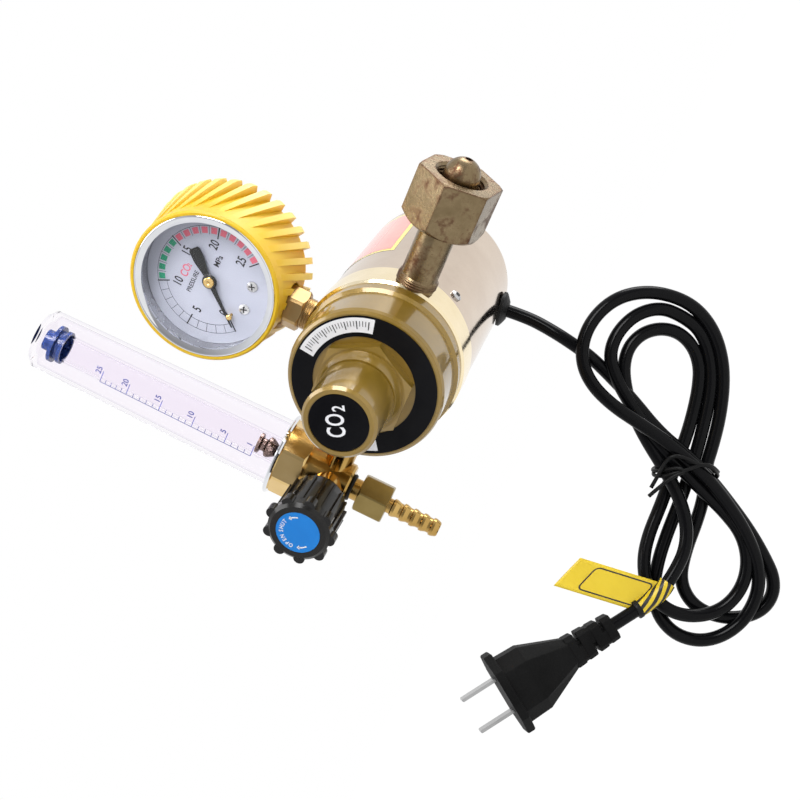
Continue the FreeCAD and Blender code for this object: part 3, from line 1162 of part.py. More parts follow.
def cord_parts():
    """Lead, tied hank and tail of the power cord, with its tie, tag, plug and blades."""
    turn = math.radians(SIZES["grommet_angle"])
    outwards = FreeCAD.Vector(math.sin(turn), 0, -math.cos(turn))
    centre = cord_exit()
    start = centre + outwards * (value("shell_radius") - SIZES["shell_wall"] - SIZES["grommet_inside"])
    first = centre + outwards * (value("shell_radius") + SIZES["lead_straight"])
    cord_tube("cord_lead", [start, first] + [hank_point(*point) for point in LEAD_ROUTE])

    curve = Part.BSplineCurve()
    hank_back = SIZES["hank_front"] - SIZES["hank_thick"]
    curve.interpolate([hank_point(across, up, hank_back) for across, up in HANK_EDGE], PeriodicFlag=True)
    face = Part.Face(Part.Wire([curve.toShape()]))
    hank = face.extrude(HANK_OUT * SIZES["hank_thick"])
    made("cord_hank", hank)
    lay = FreeCAD.Rotation(HANK_ACROSS, HANK_UP, HANK_OUT, "ZXY")
    band_wide = SIZES["tie_radius"] * 3
    band = Part.makeBox(2 * SIZES["tie_reach"], band_wide, SIZES["hank_thick"] + 2 * SIZES["tie_radius"],
                        FreeCAD.Vector(-SIZES["tie_reach"], -band_wide / 2, hank_back - SIZES["tie_radius"]))
    band.Placement = FreeCAD.Placement(hank_point(0, 0), lay)
    made("cord_tie", band.cut(hank))

    axis = (HANK_ACROSS * PLUG_AXIS[0] + HANK_UP * PLUG_AXIS[1] + HANK_OUT * PLUG_AXIS[2]).normalize()
    relief_foot = hank_point(*TAIL_END)
    side = HANK_OUT.cross(axis).normalize()
    thick = axis.cross(side).normalize()
    frame = FreeCAD.Rotation(side, thick, axis, "ZXY")
    seat = FreeCAD.Placement(relief_foot, frame)
    tail = Part.makeCylinder(SIZES["cord_radius"], SIZES["tail_length"], FreeCAD.Vector(0, 0, -SIZES["tail_length"]))
    item = made("cord_tail", tail)
    item.Placement = seat
    wrap = Part.makeCylinder(SIZES["cord_radius"] + SIZES["tag_thick"], SIZES["tag_width"],
                             FreeCAD.Vector(0, 0, -SIZES["tag_width"] - SIZES["tag_back"]))
    flag = Part.makeBox(SIZES["tag_length"], SIZES["tag_thick"], SIZES["tag_width"],
                        FreeCAD.Vector(0, -SIZES["tag_thick"] / 2, -SIZES["tag_width"] / 2))
    flag_seat = FreeCAD.Placement(FreeCAD.Vector(0, 0, -SIZES["tag_back"] - SIZES["tag_width"] / 2),
                                  FreeCAD.Rotation(BACK, SIZES["tag_turn"]))
    flag.Placement = flag_seat
    item = made("cord_tag", wrap.fuse(flag).cut(tail))
    item.Placement = seat
    relief_radius = SIZES["relief_radius"]
    relief_length = SIZES["relief_length"]
    ribs = [Part.makeCylinder(relief_radius - 1.2, relief_length)]
    for number in range(4):
        low = number * relief_length / 4
        ribs.append(Part.makeCone(relief_radius + number * 0.5 - 0.4, relief_radius + number * 0.5, relief_length / 4 - 1.2,
                                  FreeCAD.Vector(0, 0, low)))
    sections = []
    for height, wide, deep in ((relief_length, SIZES["plug_waist"], SIZES["plug_waist"] * 0.85),
                               (relief_length + SIZES["plug_body"] * 0.62, SIZES["plug_width"] * 0.8, SIZES["plug_height"] * 0.85),
                               (relief_length + SIZES["plug_body"], SIZES["plug_width"] * 0.82, SIZES["plug_height"] * 0.85)):
        sections.append(hex_wire(wide, deep, height))
    shoulder = Part.makeLoft(sections, True, True)
    flange = Part.Face(hex_wire(SIZES["plug_width"], SIZES["plug_height"], relief_length + SIZES["plug_body"]))
    plug = ribs[0].multiFuse(ribs[1:] + [shoulder, flange.extrude(FreeCAD.Vector(0, 0, SIZES["plug_face"]))]).removeSplitter()
    item = made("plug_body", plug)
    item.Placement = seat
    blades = []
    for sign in (-1, 1):
        blade = Part.makeBox(SIZES["blade_thick"], SIZES["blade_width"], SIZES["blade_length"],
                             FreeCAD.Vector(sign * SIZES["blade_gap"] / 2 - SIZES["blade_thick"] / 2, -SIZES["blade_width"] / 2,
                                            relief_length + SIZES["plug_body"] + SIZES["plug_face"]))
        top = blade.BoundBox.ZMax
        tips = [edge for edge in blade.Edges if edge.BoundBox.ZMin > top - 0.01]
        blades.append(blade.makeChamfer(SIZES["blade_thick"] * 0.3, tips))
    item = made("plug_blades", Part.makeCompound(blades))
    item.Placement = seat


def hex_wire(wide, deep, height):
    """A flat six-cornered outline: a box with its two short ends drawn to a blunt point."""
    points = [(-wide / 2, -deep * 0.22), (-wide * 0.3, -deep / 2), (wide * 0.3, -deep / 2), (wide / 2, -deep * 0.22),
              (wide / 2, deep * 0.22), (wide * 0.3, deep / 2), (-wide * 0.3, deep / 2), (-wide / 2, deep * 0.22)]
    return Part.makePolygon([FreeCAD.Vector(x, y, height) for x, y in points + points[:1]])


STEPS = (inlet, regulator_body, bonnet, pressure_parts, valve_parts, heater, grommet, gauge, gauge_boot,
         flow_parts, needle_valve, outlet, cord_parts)
for step in STEPS:
    step()
DOC.recompute()
for item in DOC.Objects:
    if "Invalid" in item.State or "Error" in item.State:
        raise RuntimeError(f"{item.Label} did not build: {item.State}")
for name, item in NODES.items():
    if item.Shape.isNull() or not item.Shape.isValid():
        raise RuntimeError(f"{name} is not a valid shape")
os.makedirs("parts", exist_ok=True)
for name, item in NODES.items():
    item.Shape.exportStep(f"parts/{name}.step")
print("sub-parts written:", len(NODES))
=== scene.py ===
import json
import math

import bpy
from mathutils import Matrix, Vector

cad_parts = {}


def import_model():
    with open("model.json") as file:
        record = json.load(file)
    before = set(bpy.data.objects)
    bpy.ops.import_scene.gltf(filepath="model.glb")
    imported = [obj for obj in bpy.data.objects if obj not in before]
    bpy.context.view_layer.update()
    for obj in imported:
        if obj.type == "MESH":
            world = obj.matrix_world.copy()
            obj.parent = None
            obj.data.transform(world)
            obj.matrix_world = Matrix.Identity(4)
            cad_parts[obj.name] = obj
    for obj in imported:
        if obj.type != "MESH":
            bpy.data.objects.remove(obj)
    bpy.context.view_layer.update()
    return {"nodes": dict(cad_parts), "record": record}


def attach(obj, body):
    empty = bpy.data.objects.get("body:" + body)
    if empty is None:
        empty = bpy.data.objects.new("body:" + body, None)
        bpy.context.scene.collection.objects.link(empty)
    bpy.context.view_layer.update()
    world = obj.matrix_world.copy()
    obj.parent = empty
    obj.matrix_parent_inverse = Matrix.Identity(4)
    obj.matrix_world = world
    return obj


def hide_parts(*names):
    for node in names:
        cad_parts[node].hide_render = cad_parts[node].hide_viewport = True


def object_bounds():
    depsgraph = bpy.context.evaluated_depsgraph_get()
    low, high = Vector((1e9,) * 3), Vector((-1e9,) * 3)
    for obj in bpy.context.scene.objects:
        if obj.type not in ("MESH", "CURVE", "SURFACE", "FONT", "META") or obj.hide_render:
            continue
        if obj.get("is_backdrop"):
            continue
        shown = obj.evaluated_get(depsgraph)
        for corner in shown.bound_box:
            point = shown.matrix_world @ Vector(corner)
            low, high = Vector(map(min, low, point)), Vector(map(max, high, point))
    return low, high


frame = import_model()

# Dresses a carbon dioxide regulator's CAD: its finishes, print, threads and cord, the camera and the light

MM = 0.001
ROOT = "regulator"
PICTURE_SIDE = 800
FOCAL_LENGTH = 1403.3
SENSOR_WIDTH = 36
CAMERA_AT = Vector((208.55, -539.6, -47.3)) * MM
VIEW_RIGHT = Vector((0.3533, 0.2573, -0.8995))
VIEW_UP = Vector((0.7936, 0.4268, 0.4337))
VIEW_BACK = Vector((0.4955, -0.8670, -0.0534))
X = Vector((1, 0, 0))
Y = Vector((0, 1, 0))
Z = Vector((0, 0, 1))

# Where the CAD's faces lie, in millimetres: the body's axis, the flow tube's axis, the gauge and the labels
BODY_X = -80.85
TUBE_X = -152.85
GAUGE_Z = 81.5
DIAL_Y = -10.1
BEZEL_Y = -19.0
GAS_LABEL_Y = -70.9
RING_LABEL_Y = -35.9
KNOB_DISC_Y = -49.9
SHELL_RADIUS = 36.0


def mm(*point):
    """A place given in millimetres, as the metres that Blender measures in."""
    return Vector(point) * MM


# Camera, light and ground

def camera():
    data = bpy.data.cameras.new("camera")
    data.sensor_width = SENSOR_WIDTH
    data.lens = FOCAL_LENGTH * SENSOR_WIDTH / PICTURE_SIDE
    data.clip_start = 0.02
    obj = bpy.data.objects.new("camera", data)
    bpy.context.collection.objects.link(obj)
    turn = Matrix((VIEW_RIGHT, VIEW_UP, VIEW_BACK)).transposed().to_4x4()
    obj.matrix_world = Matrix.Translation(CAMERA_AT) @ turn
    bpy.context.scene.camera = obj


def area_light(name, at, aim, size, watts):
    data = bpy.data.lights.new(name, "AREA")
    data.shape = "DISK"
    data.size = size
    data.energy = watts
    obj = bpy.data.objects.new(name, data)
    obj.location = at
    obj.rotation_euler = (Vector(at) - Vector(aim)).to_track_quat("Z", "Y").to_euler()
    bpy.context.collection.objects.link(obj)


class Nodes:
    """Shorthand for building one material's or world's node tree."""

    def __init__(self, name, world=False):
        self.owner = bpy.data.worlds.new(name) if world else bpy.data.materials.new(name)
        self.owner.use_nodes = True
        self.tree = self.owner.node_tree
        self.tree.nodes.clear()

    def add(self, kind, **values):
        """A new node; a value goes to the input of its name, or else to the node's own setting."""
        node = self.tree.nodes.new(kind)
        for key, value in values.items():
            if key in node.inputs:
                self.put(node.inputs[key], value)
            else:
                setattr(node, key, value)
        return node

    def put(self, socket, value):
        """Links another node's output to a socket, or sets the socket to a constant."""
        if isinstance(value, bpy.types.NodeSocket):
            self.tree.links.new(value, socket)
        else:
            socket.default_value = value

    def math(self, operation, first, second):
        node = self.add("ShaderNodeMath", operation=operation)
        self.put(node.inputs[0], first)
        self.put(node.inputs[1], second)
        return node.outputs[0]

    def vector_math(self, operation, first, second, result=0):
        node = self.add("ShaderNodeVectorMath", operation=operation)
        self.put(node.inputs[0], first)
        if second is not None:
            self.put(node.inputs[1], second)
        return node.outputs[result]

    def ramp(self, factor, *stops):
        node = self.add("ShaderNodeValToRGB", Fac=factor)
        while len(node.color_ramp.elements) < len(stops):
            node.color_ramp.elements.new(0.5)
        for element, (place, colour) in zip(node.color_ramp.elements, stops):
            element.position = place
            element.color = (*colour, 1)
        return node.outputs["Color"]

    def blend(self, factor, first, second):
        node = self.add("ShaderNodeMix", data_type="RGBA")
        self.put(node.inputs[0], factor)
        self.put(node.inputs[6], first)
        self.put(node.inputs[7], second)
        return node.outputs[2]

    def coordinates(self):
        return self.add("ShaderNodeTexCoord").outputs["Object"]

    def noise(self, vector, scale, detail=3.0, rough=0.5):
        node = self.add("ShaderNodeTexNoise", Scale=scale, Detail=detail, Roughness=rough, Vector=vector)
        return node.outputs["Fac"]

    def bump(self, height, strength, distance=0.0002):
        node = self.add("ShaderNodeBump", Height=height, Strength=strength, Distance=distance)
        return node.outputs["Normal"]

    def between(self, factor, low, high, begin=0.0, end=1.0):
        """Takes a factor that runs from begin to end, and runs it from low to high instead."""
        node = self.add("ShaderNodeMapRange", Value=factor)
        node.inputs["From Min"].default_value = begin
        node.inputs["From Max"].default_value = end
        node.inputs["To Min"].default_value = low
        node.inputs["To Max"].default_value = high
        return node.outputs["Result"]

    def mixed(self, factor, first, second):
        mix = self.add("ShaderNodeMixShader", Fac=factor)
        self.tree.links.new(first.outputs[0], mix.inputs[1])
        self.tree.links.new(second.outputs[0], mix.inputs[2])
        return mix

    def principled(self, **values):
        shader = self.add("ShaderNodeBsdfPrincipled")
        for key, value in values.items():
            self.put(shader.inputs[key.replace("_", " ")], value)
        return shader

    def output(self, shader, kind="ShaderNodeOutputMaterial"):
        out = self.add(kind)
        self.tree.links.new(shader.outputs[0], out.inputs["Surface"])
        return self.owner

    def surface(self, **values):
        return self.output(self.principled(**values))


def world():
    """A white tent: pale all round, with a darker opening on the side the photograph was taken from."""
    n = Nodes("studio", world=True)
    bpy.context.scene.world = n.owner
    ray = n.add("ShaderNodeLightPath")
    place = n.add("ShaderNodeTexCoord")
    towards = n.vector_math("DOT_PRODUCT", place.outputs["Generated"], VIEW_BACK, "Value")
    level = n.between(towards, 0, 1, -1, 1)
    tent = n.ramp(level, (0.0, (1, 1, 1)), (0.55, (0.98, 0.98, 1.0)), (0.74, (0.78, 0.79, 0.82)),
                  (0.88, (0.42, 0.42, 0.44)), (1.0, (0.26, 0.26, 0.27)))
    room = n.add("ShaderNodeBackground", Color=(0.86, 0.87, 0.90, 1), Strength=0.50)
    mirror = n.add("ShaderNodeBackground", Color=tent, Strength=1.0)
    white = n.add("ShaderNodeBackground", Color=(1, 1, 1, 1), Strength=1.0)
    lit = n.mixed(ray.outputs["Is Glossy Ray"], room, mirror)
    seen = n.math("MAXIMUM", ray.outputs["Is Camera Ray"], ray.outputs["Is Transmission Ray"])
    n.output(n.mixed(seen, lit, white), "ShaderNodeOutputWorld")


def studio():
    """Soft boxes placed by the camera's own directions, since the photograph looks along the part."""
    middle = mm(-80, 20, -20)
    for name, right, up, back, size, watts in (
        ("key", -0.35, 0.55, 0.75, 0.5, 7),
        ("fill", 0.9, -0.1, 0.6, 0.7, 4),
        ("rim", -0.9, 0.2, 0.25, 0.6, 4),
        ("top", 0.2, 0.8, -0.15, 0.5, 4),
    ):
        area_light(name, middle + VIEW_RIGHT * right + VIEW_UP * up + VIEW_BACK * back, middle, size, watts)


# Finishes, one for each of the record's slots

def metal(name, low, high, rough, wear=0.06, grain=240, bump=0.04, metallic=1.0, coat=0.0):
    """Metal whose colour and sheen wander a little, with fine machining grain."""
    n = Nodes(name)
    place = n.coordinates()
    broad = n.noise(place, 38, 4, 0.6)
    fine = n.noise(place, grain, 3, 0.6)
    colour = n.ramp(broad, (0.3, low), (0.7, high))
    sheen = n.between(n.math("MULTIPLY", broad, fine), rough, rough + wear * 2)
    return n.surface(Base_Color=colour, Metallic=metallic, Roughness=sheen, Normal=n.bump(fine, bump),
                     Coat_Weight=coat, Coat_Roughness=0.06)


def aged(name, low, high, stain, rough=0.24):
    """Handled brass: satin and pitted, with brown-red stains in patches and along its edges."""
    n = Nodes(name)
    place = n.coordinates()
    broad = n.noise(place, 70, 5, 0.65)
    patch = n.noise(place, 260, 6, 0.75)
    pits = n.noise(place, 900, 3, 0.6)
    clean = n.ramp(broad, (0.3, low), (0.7, high))
    rounded = n.add("ShaderNodeBevel", samples=4, Radius=0.0018).outputs["Normal"]
    flat = n.add("ShaderNodeNewGeometry").outputs["Normal"]
    facing = n.vector_math("DOT_PRODUCT", rounded, flat, "Value")
    edges = n.between(facing, 0.22, 0.0, 0.72, 0.98)
    stained = n.math("ADD", n.math("MULTIPLY", broad, patch), edges)
    dirt = n.ramp(stained, (0.235, (0, 0, 0)), (0.37, (1, 1, 1)))
    colour = n.blend(dirt, clean, (*stain, 1))
    sheen = n.between(dirt, rough, rough + 0.25)
    rough_face = n.bump(n.math("ADD", pits, patch), 0.22)
    return n.surface(Base_Color=colour, Metallic=1.0, Roughness=sheen, Normal=rough_face)


def plastic(name, low, high, rough, wear=0.1, grain=320, bump=0.08, coat=0.0, specular=0.5):
    """Moulded plastic, rubber or paint: a faint texture, and a sheen that isn't even."""
    n = Nodes(name)
    place = n.coordinates()
    broad = n.noise(place, 45, 4, 0.6)
    fine = n.noise(place, grain, 4, 0.65)
    colour = n.ramp(broad, (0.3, low), (0.7, high))
    gloss = n.between(broad, rough, rough + wear)
    return n.surface(Base_Color=colour, Roughness=gloss, Normal=n.bump(fine, bump), Coat_Weight=coat,
                     Coat_Roughness=0.05, Specular_IOR_Level=specular)


def clear(name, face, edge, ior):
    """A clear moulding, tinted a little where it is seen edge on. Shadow rays go straight through."""
    n = Nodes(name)
    fine = n.noise(n.coordinates(), 60, 3, 0.5)
    gloss = n.between(fine, 0.0, 0.04)
    facing = n.add("ShaderNodeLayerWeight", Blend=0.35).outputs["Facing"]
    tint = n.ramp(facing, (0.0, face), (0.45, face), (0.82, edge), (1.0, edge))
    body = n.principled(Base_Color=tint, Roughness=gloss, IOR=ior, Transmission_Weight=1.0,
                        Normal=n.bump(fine, 0.02))
    gone = n.add("ShaderNodeBsdfTransparent", Color=(*face, 1))
    ray = n.add("ShaderNodeLightPath")
    return n.output(n.mixed(ray.outputs["Is Shadow Ray"], body, gone))


FIN_ROOT_RADIUS = 34.5 * MM
FIN_TIP_RADIUS = 38.2 * MM


def fins_rubber(name):
    """The boot's soft vinyl: golden, paler where the light passes through the fins' thin tips."""
    n = Nodes(name)
    place = n.coordinates()
    broad = n.noise(place, 45, 4, 0.6)
    fine = n.noise(place, 420, 4, 0.6)
    deep = n.ramp(broad, (0.3, (0.68, 0.42, 0.010)), (0.7, (0.76, 0.49, 0.016)))
    off = n.vector_math("SUBTRACT", place, mm(BODY_X, 0, GAUGE_Z))
    across = n.vector_math("MULTIPLY", off, (1, 0, 1))
    reach = n.vector_math("LENGTH", across, None, "Value")
    tip = n.between(reach, 0, 1, FIN_ROOT_RADIUS, FIN_TIP_RADIUS)
    colour = n.blend(tip, deep, (0.90, 0.70, 0.20, 1))
    return n.surface(Base_Color=colour, Roughness=n.between(broad, 0.34, 0.5), Normal=n.bump(fine, 0.08),
                     Subsurface_Weight=0.12, Subsurface_Radius=(0.004, 0.002, 0.0005), Subsurface_Scale=0.6)


LOOKS = {
    "polished_brass": metal("brass_polished", (0.42, 0.25, 0.065), (0.62, 0.41, 0.14), 0.13, 0.09),
    "yellow_brass": metal("brass_yellow", (0.66, 0.44, 0.15), (0.82, 0.60, 0.28), 0.10, 0.09),
    "aged_brass": aged("brass_aged", (0.16, 0.115, 0.060), (0.30, 0.225, 0.130),
                       stain=(0.105, 0.050, 0.028), rough=0.26),
    "cream_body": metal("brass_pale", (0.86, 0.72, 0.46), (0.96, 0.83, 0.58), 0.09, 0.07, bump=0.02),
    "gold_paint": metal("gold_paint", (0.21, 0.125, 0.010), (0.27, 0.165, 0.018), 0.26, 0.10,
                        grain=500, bump=0.04, metallic=0.30, coat=0.9),
    "steel": metal("steel", (0.50, 0.50, 0.50), (0.66, 0.66, 0.67), 0.20, 0.12),
    "spring_steel": metal("spring_steel", (0.28, 0.28, 0.29), (0.42, 0.42, 0.44), 0.28, 0.12),
    "shell_gold": metal("shell_polished", (0.60, 0.49, 0.395), (0.68, 0.57, 0.465), 0.09, 0.06, bump=0.01),
    "chrome_trim": metal("chrome", (0.70, 0.71, 0.73), (0.80, 0.81, 0.83), 0.03, 0.04, bump=0.01),
    "heater_aluminium": metal("aluminium", (0.60, 0.61, 0.62), (0.72, 0.73, 0.74), 0.3, 0.15),
    "heater_ceramic": plastic("ceramic", (0.74, 0.72, 0.66), (0.84, 0.82, 0.78), 0.5),
    "wool": plastic("wool", (0.70, 0.68, 0.62), (0.86, 0.84, 0.78), 0.9, bump=0.8),
    "black_plastic": plastic("black_plastic", (0.010, 0.010, 0.011), (0.018, 0.018, 0.020), 0.35),
    "black_knob": plastic("knob_plastic", (0.006, 0.0055, 0.005), (0.011, 0.010, 0.009), 0.12,
                          bump=0.03, specular=0.3),
    "disc_blue": plastic("disc_blue", (0.008, 0.175, 0.560), (0.012, 0.205, 0.620), 0.26,
                         bump=0.03, specular=0.3),
    "blue_plastic": plastic("blue_plastic", (0.010, 0.028, 0.12), (0.016, 0.042, 0.17), 0.14, bump=0.03),
    "clear_plastic": clear("clear_plastic", (0.975, 0.955, 0.985), (0.70, 0.69, 0.76), 1.045),
    "clear_window": clear("clear_window", (0.985, 0.985, 0.99), (0.93, 0.93, 0.94), 1.12),
    "yellow_rubber": fins_rubber("boot_rubber"),
    "black_rubber": plastic("black_rubber", (0.008, 0.008, 0.008), (0.011, 0.011, 0.011), 0.36, 0.2,
                            specular=0.16),
    "white_rubber": plastic("white_rubber", (0.62, 0.62, 0.60), (0.72, 0.72, 0.70), 0.5, 0.2),
    "black_label": plastic("black_label", (0.004, 0.004, 0.005), (0.008, 0.008, 0.009), 0.14, 0.08,
                           bump=0.01, specular=0.07),
    "gas_label_face": plastic("gas_label", (0.003, 0.003, 0.004), (0.007, 0.007, 0.008), 0.16,
                              bump=0.02, specular=0.05),
    "dial_white": plastic("dial_face", (0.37, 0.385, 0.460), (0.41, 0.425, 0.500), 0.42, 0.15,
                          grain=900, bump=0.03, specular=0.35),
    "pointer_black": plastic("pointer_paint", (0.006, 0.006, 0.006), (0.012, 0.012, 0.012), 0.35),
    "cord_black": plastic("cord_sheath", (0.003, 0.003, 0.0035), (0.0035, 0.0035, 0.004), 0.13, 0.07,
                          grain=500, bump=0.04, specular=0.10),
    "tie_black": plastic("tie_sheath", (0.005, 0.005, 0.005), (0.008, 0.008, 0.008), 0.30, specular=0.12),
    "tag_yellow": plastic("tag_yellow", (0.66, 0.47, 0.010), (0.74, 0.54, 0.018), 0.32, 0.15, bump=0.03),
    "blade_metal": metal("blade_plate", (0.30, 0.30, 0.30), (0.42, 0.42, 0.42), 0.18, 0.12),
    "float_metal": metal("float_metal", (0.13, 0.09, 0.07), (0.24, 0.18, 0.145), 0.20, 0.1),
}
PRINT_BLACK = plastic("print_black", (0.008, 0.008, 0.010), (0.016, 0.016, 0.018), 0.4)
PRINT_WHITE = plastic("print_white", (0.72, 0.72, 0.74), (0.80, 0.80, 0.82), 0.35)
PRINT_GREEN = plastic("print_green", (0.010, 0.22, 0.115), (0.020, 0.27, 0.15), 0.4)
PRINT_RED = plastic("print_red", (0.56, 0.10, 0.15), (0.62, 0.13, 0.19), 0.4)
PRINT_BLUE = plastic("print_blue", (0.03, 0.04, 0.26), (0.06, 0.07, 0.34), 0.4)
CAST_BRASS = metal("brass_cast", (0.34, 0.215, 0.085), (0.52, 0.36, 0.17), 0.30, 0.12, 600, 0.22)
LABEL_RED = plastic("label_red", (0.78, 0.20, 0.17), (0.86, 0.28, 0.22), 0.16, bump=0.02, coat=0.8)
LABEL_YELLOW = plastic("label_yellow", (0.80, 0.66, 0.09), (0.88, 0.74, 0.14), 0.16, bump=0.02, coat=0.8)
PLUG_BLACK = plastic("plug_black", (0.003, 0.003, 0.003), (0.007, 0.007, 0.007), 0.48, 0.16,
                     grain=1400, bump=0.45, specular=0.09)
OLIVE_BRASS = metal("brass_olive", (0.25, 0.175, 0.055), (0.36, 0.265, 0.10), 0.24, 0.12)
# Painted shade: a flat near-black colour for the screws' cross recesses and sockets, which look dark only
# from the shade inside them.
PAINTED_RECESS_SHADE = plastic("painted_recess_shade", (0.010, 0.010, 0.010), (0.02, 0.02, 0.02), 0.6)


def finishes():
    """Gives each of the CAD's nodes its slot's look; two brass nodes have a look of their own."""
    for part in frame["record"]["subparts"]:
        node = frame["nodes"][part["node"]]
        node.data.materials.clear()
        node.data.materials.append(LOOKS[part["material_slot"]])
    frame["nodes"]["outlet_nut"].data.materials[0] = OLIVE_BRASS
    frame["nodes"]["gauge_socket"].data.materials[0] = CAST_BRASS


# Mesh pieces, given in millimetres

def piece(name, points, faces, look, body=ROOT, smooth=False):
    """A mesh that rides a body. The look is one material, or a list that the faces choose from."""
    data = bpy.data.meshes.new(name)
    data.from_pydata([Vector(p) * MM for p in points], [], faces)
    data.validate()
    looks = look if isinstance(look, list) else [look]
    for each in looks:
        data.materials.append(each)
    if smooth:
        data.shade_smooth()
    obj = bpy.data.objects.new(name, data)
    bpy.context.collection.objects.link(obj)
    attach(obj, body)
    return obj


def polar(radius, degrees):
    """A place on a circle, across and up from its centre."""
    a = math.radians(degrees)
    return radius * math.cos(a), radius * math.sin(a)


def tube_faces(rows, around, start=0):
    """Faces that join rows of points, each row a closed ring."""
    faces = []
    for row in range(rows - 1):
        low, high = start + row * around, start + (row + 1) * around
        for spot in range(around):
            after = (spot + 1) % around
            faces.append((low + spot, low + after, high + after, high + spot))
    return faces


def lathe(name, origin, axis, profile, look, body=ROOT, steps=48):
    """A turned piece: its profile's radius and height pairs swept round an axis."""
    axis = Vector(axis).normalized()
    side = axis.orthogonal().normalized()
    cross = axis.cross(side)
    points = []
    for radius, height in profile:
        for step in range(steps):
            angle = 2 * math.pi * step / steps
            out = side * math.cos(angle) + cross * math.sin(angle)
            points.append(Vector(origin) + axis * height + out * radius)
    return piece(name, points, tube_faces(len(profile), steps), look, body, True)


def thread(name, origin, axis, length, radius, depth, pitch, look, body=ROOT):
    """A helical ridge along a cylinder; a negative depth turns it inwards."""
    axis = Vector(axis).normalized()
    side = axis.orthogonal().normalized()
    cross = axis.cross(side)
    steps, run_out = 40, 6
    count = int(length / pitch * steps)
    ridge = ((-0.05, -0.42), (1.0, -0.06), (1.0, 0.06), (-0.05, 0.42))
    points = []
    for step in range(count + 1):
        angle = 2 * math.pi * step / steps
        height = length * step / count
        fade = min(1, step / run_out, (count - step) / run_out)
        out = side * math.cos(angle) + cross * math.sin(angle)
        for reach, rise in ridge:
            at = min(max(height + rise * pitch, 0), length)
            points.append(Vector(origin) + axis * at + out * (radius + depth * reach * fade))
    faces = []
    for step in range(count):
        for edge in range(len(ridge) - 1):
            a = step * len(ridge) + edge
            b = a + len(ridge)
            faces.append((a, a + 1, b + 1, b))
    return piece(name, points, faces, look, body, True)


CAPITAL_HEIGHT = 0.7
LETTERS = {}


def letters(words):
    """Some words in Blender's own font, kept as a mesh's points and faces, with capitals one unit high."""
    if words not in LETTERS:
        data = bpy.data.curves.new("letters", "FONT")
        data.body = words
        data.align_x = "CENTER"
        data.resolution_u = 4
        data.offset = 0.016
        obj = bpy.data.objects.new("letters", data)
        bpy.context.collection.objects.link(obj)
        bpy.context.view_layer.update()
        mesh = bpy.data.meshes.new_from_object(obj.evaluated_get(bpy.context.evaluated_depsgraph_get()))
        points = [(v.co.x / CAPITAL_HEIGHT, v.co.y / CAPITAL_HEIGHT) for v in mesh.vertices]
        LETTERS[words] = (points, [tuple(p.vertices) for p in mesh.polygons])
        bpy.data.objects.remove(obj)
        bpy.data.curves.remove(data)
        bpy.data.meshes.remove(mesh)
    return LETTERS[words]


class Marks:
    """Thin print on a face: shapes given across and up it, in millimetres, that spot() puts in place."""

    def __init__(self, spot):
        self.spot = spot
        self.points = []
        self.faces = []

    def shape(self, corners, faces=None):
        start = len(self.points)
        self.points += [self.spot(x, y) for x, y in corners]
        for face in faces or [tuple(range(len(corners)))]:
            self.faces.append(tuple(start + index for index in face))

    def bar(self, x0, y0, x1, y1, width):
        run = Vector((x1 - x0, y1 - y0)).normalized() * width / 2
        self.shape([(x0 + run.y, y0 - run.x), (x1 + run.y, y1 - run.x),
                    (x1 - run.y, y1 + run.x), (x0 - run.y, y0 + run.x)])

    def sector(self, inner, outer, begin, end, steps=1):
        for step in range(steps):
            a = begin + (end - begin) * step / steps
            b = begin + (end - begin) * (step + 1) / steps
            self.shape([polar(inner, a), polar(outer, a), polar(outer, b), polar(inner, b)])

    def words(self, text, x, y, height, turn=0.0, narrow=0.85):
        points, faces = letters(text)
        c, s = math.cos(math.radians(turn)), math.sin(math.radians(turn))
        moved = []
        for u, v in points:
            u, v = u * height * narrow, (v - 0.5) * height
            moved.append((x + u * c - v * s, y + u * s + v * c))
        self.shape(moved, faces)

    def arc_words(self, text, radius, middle, height, step):
        """Letters one by one round an arc, with their feet towards its centre, read clockwise."""
        for index, letter in enumerate(text):
            angle = middle - (index - (len(text) - 1) / 2) * step
            self.words(letter, *polar(radius, angle), height, angle - 90)

    def place(self, name, look, slot, body=ROOT):
        return piece(name, self.points, self.faces, look, body)


def flat_face(origin, lift=0.06):
    """For Marks: a plane that lies a hair in front of a flat face, which looks along -Y."""
    return lambda across, up: Vector(origin) + Vector((across, -lift, up))


# The gauge's dial, the labels and the scales

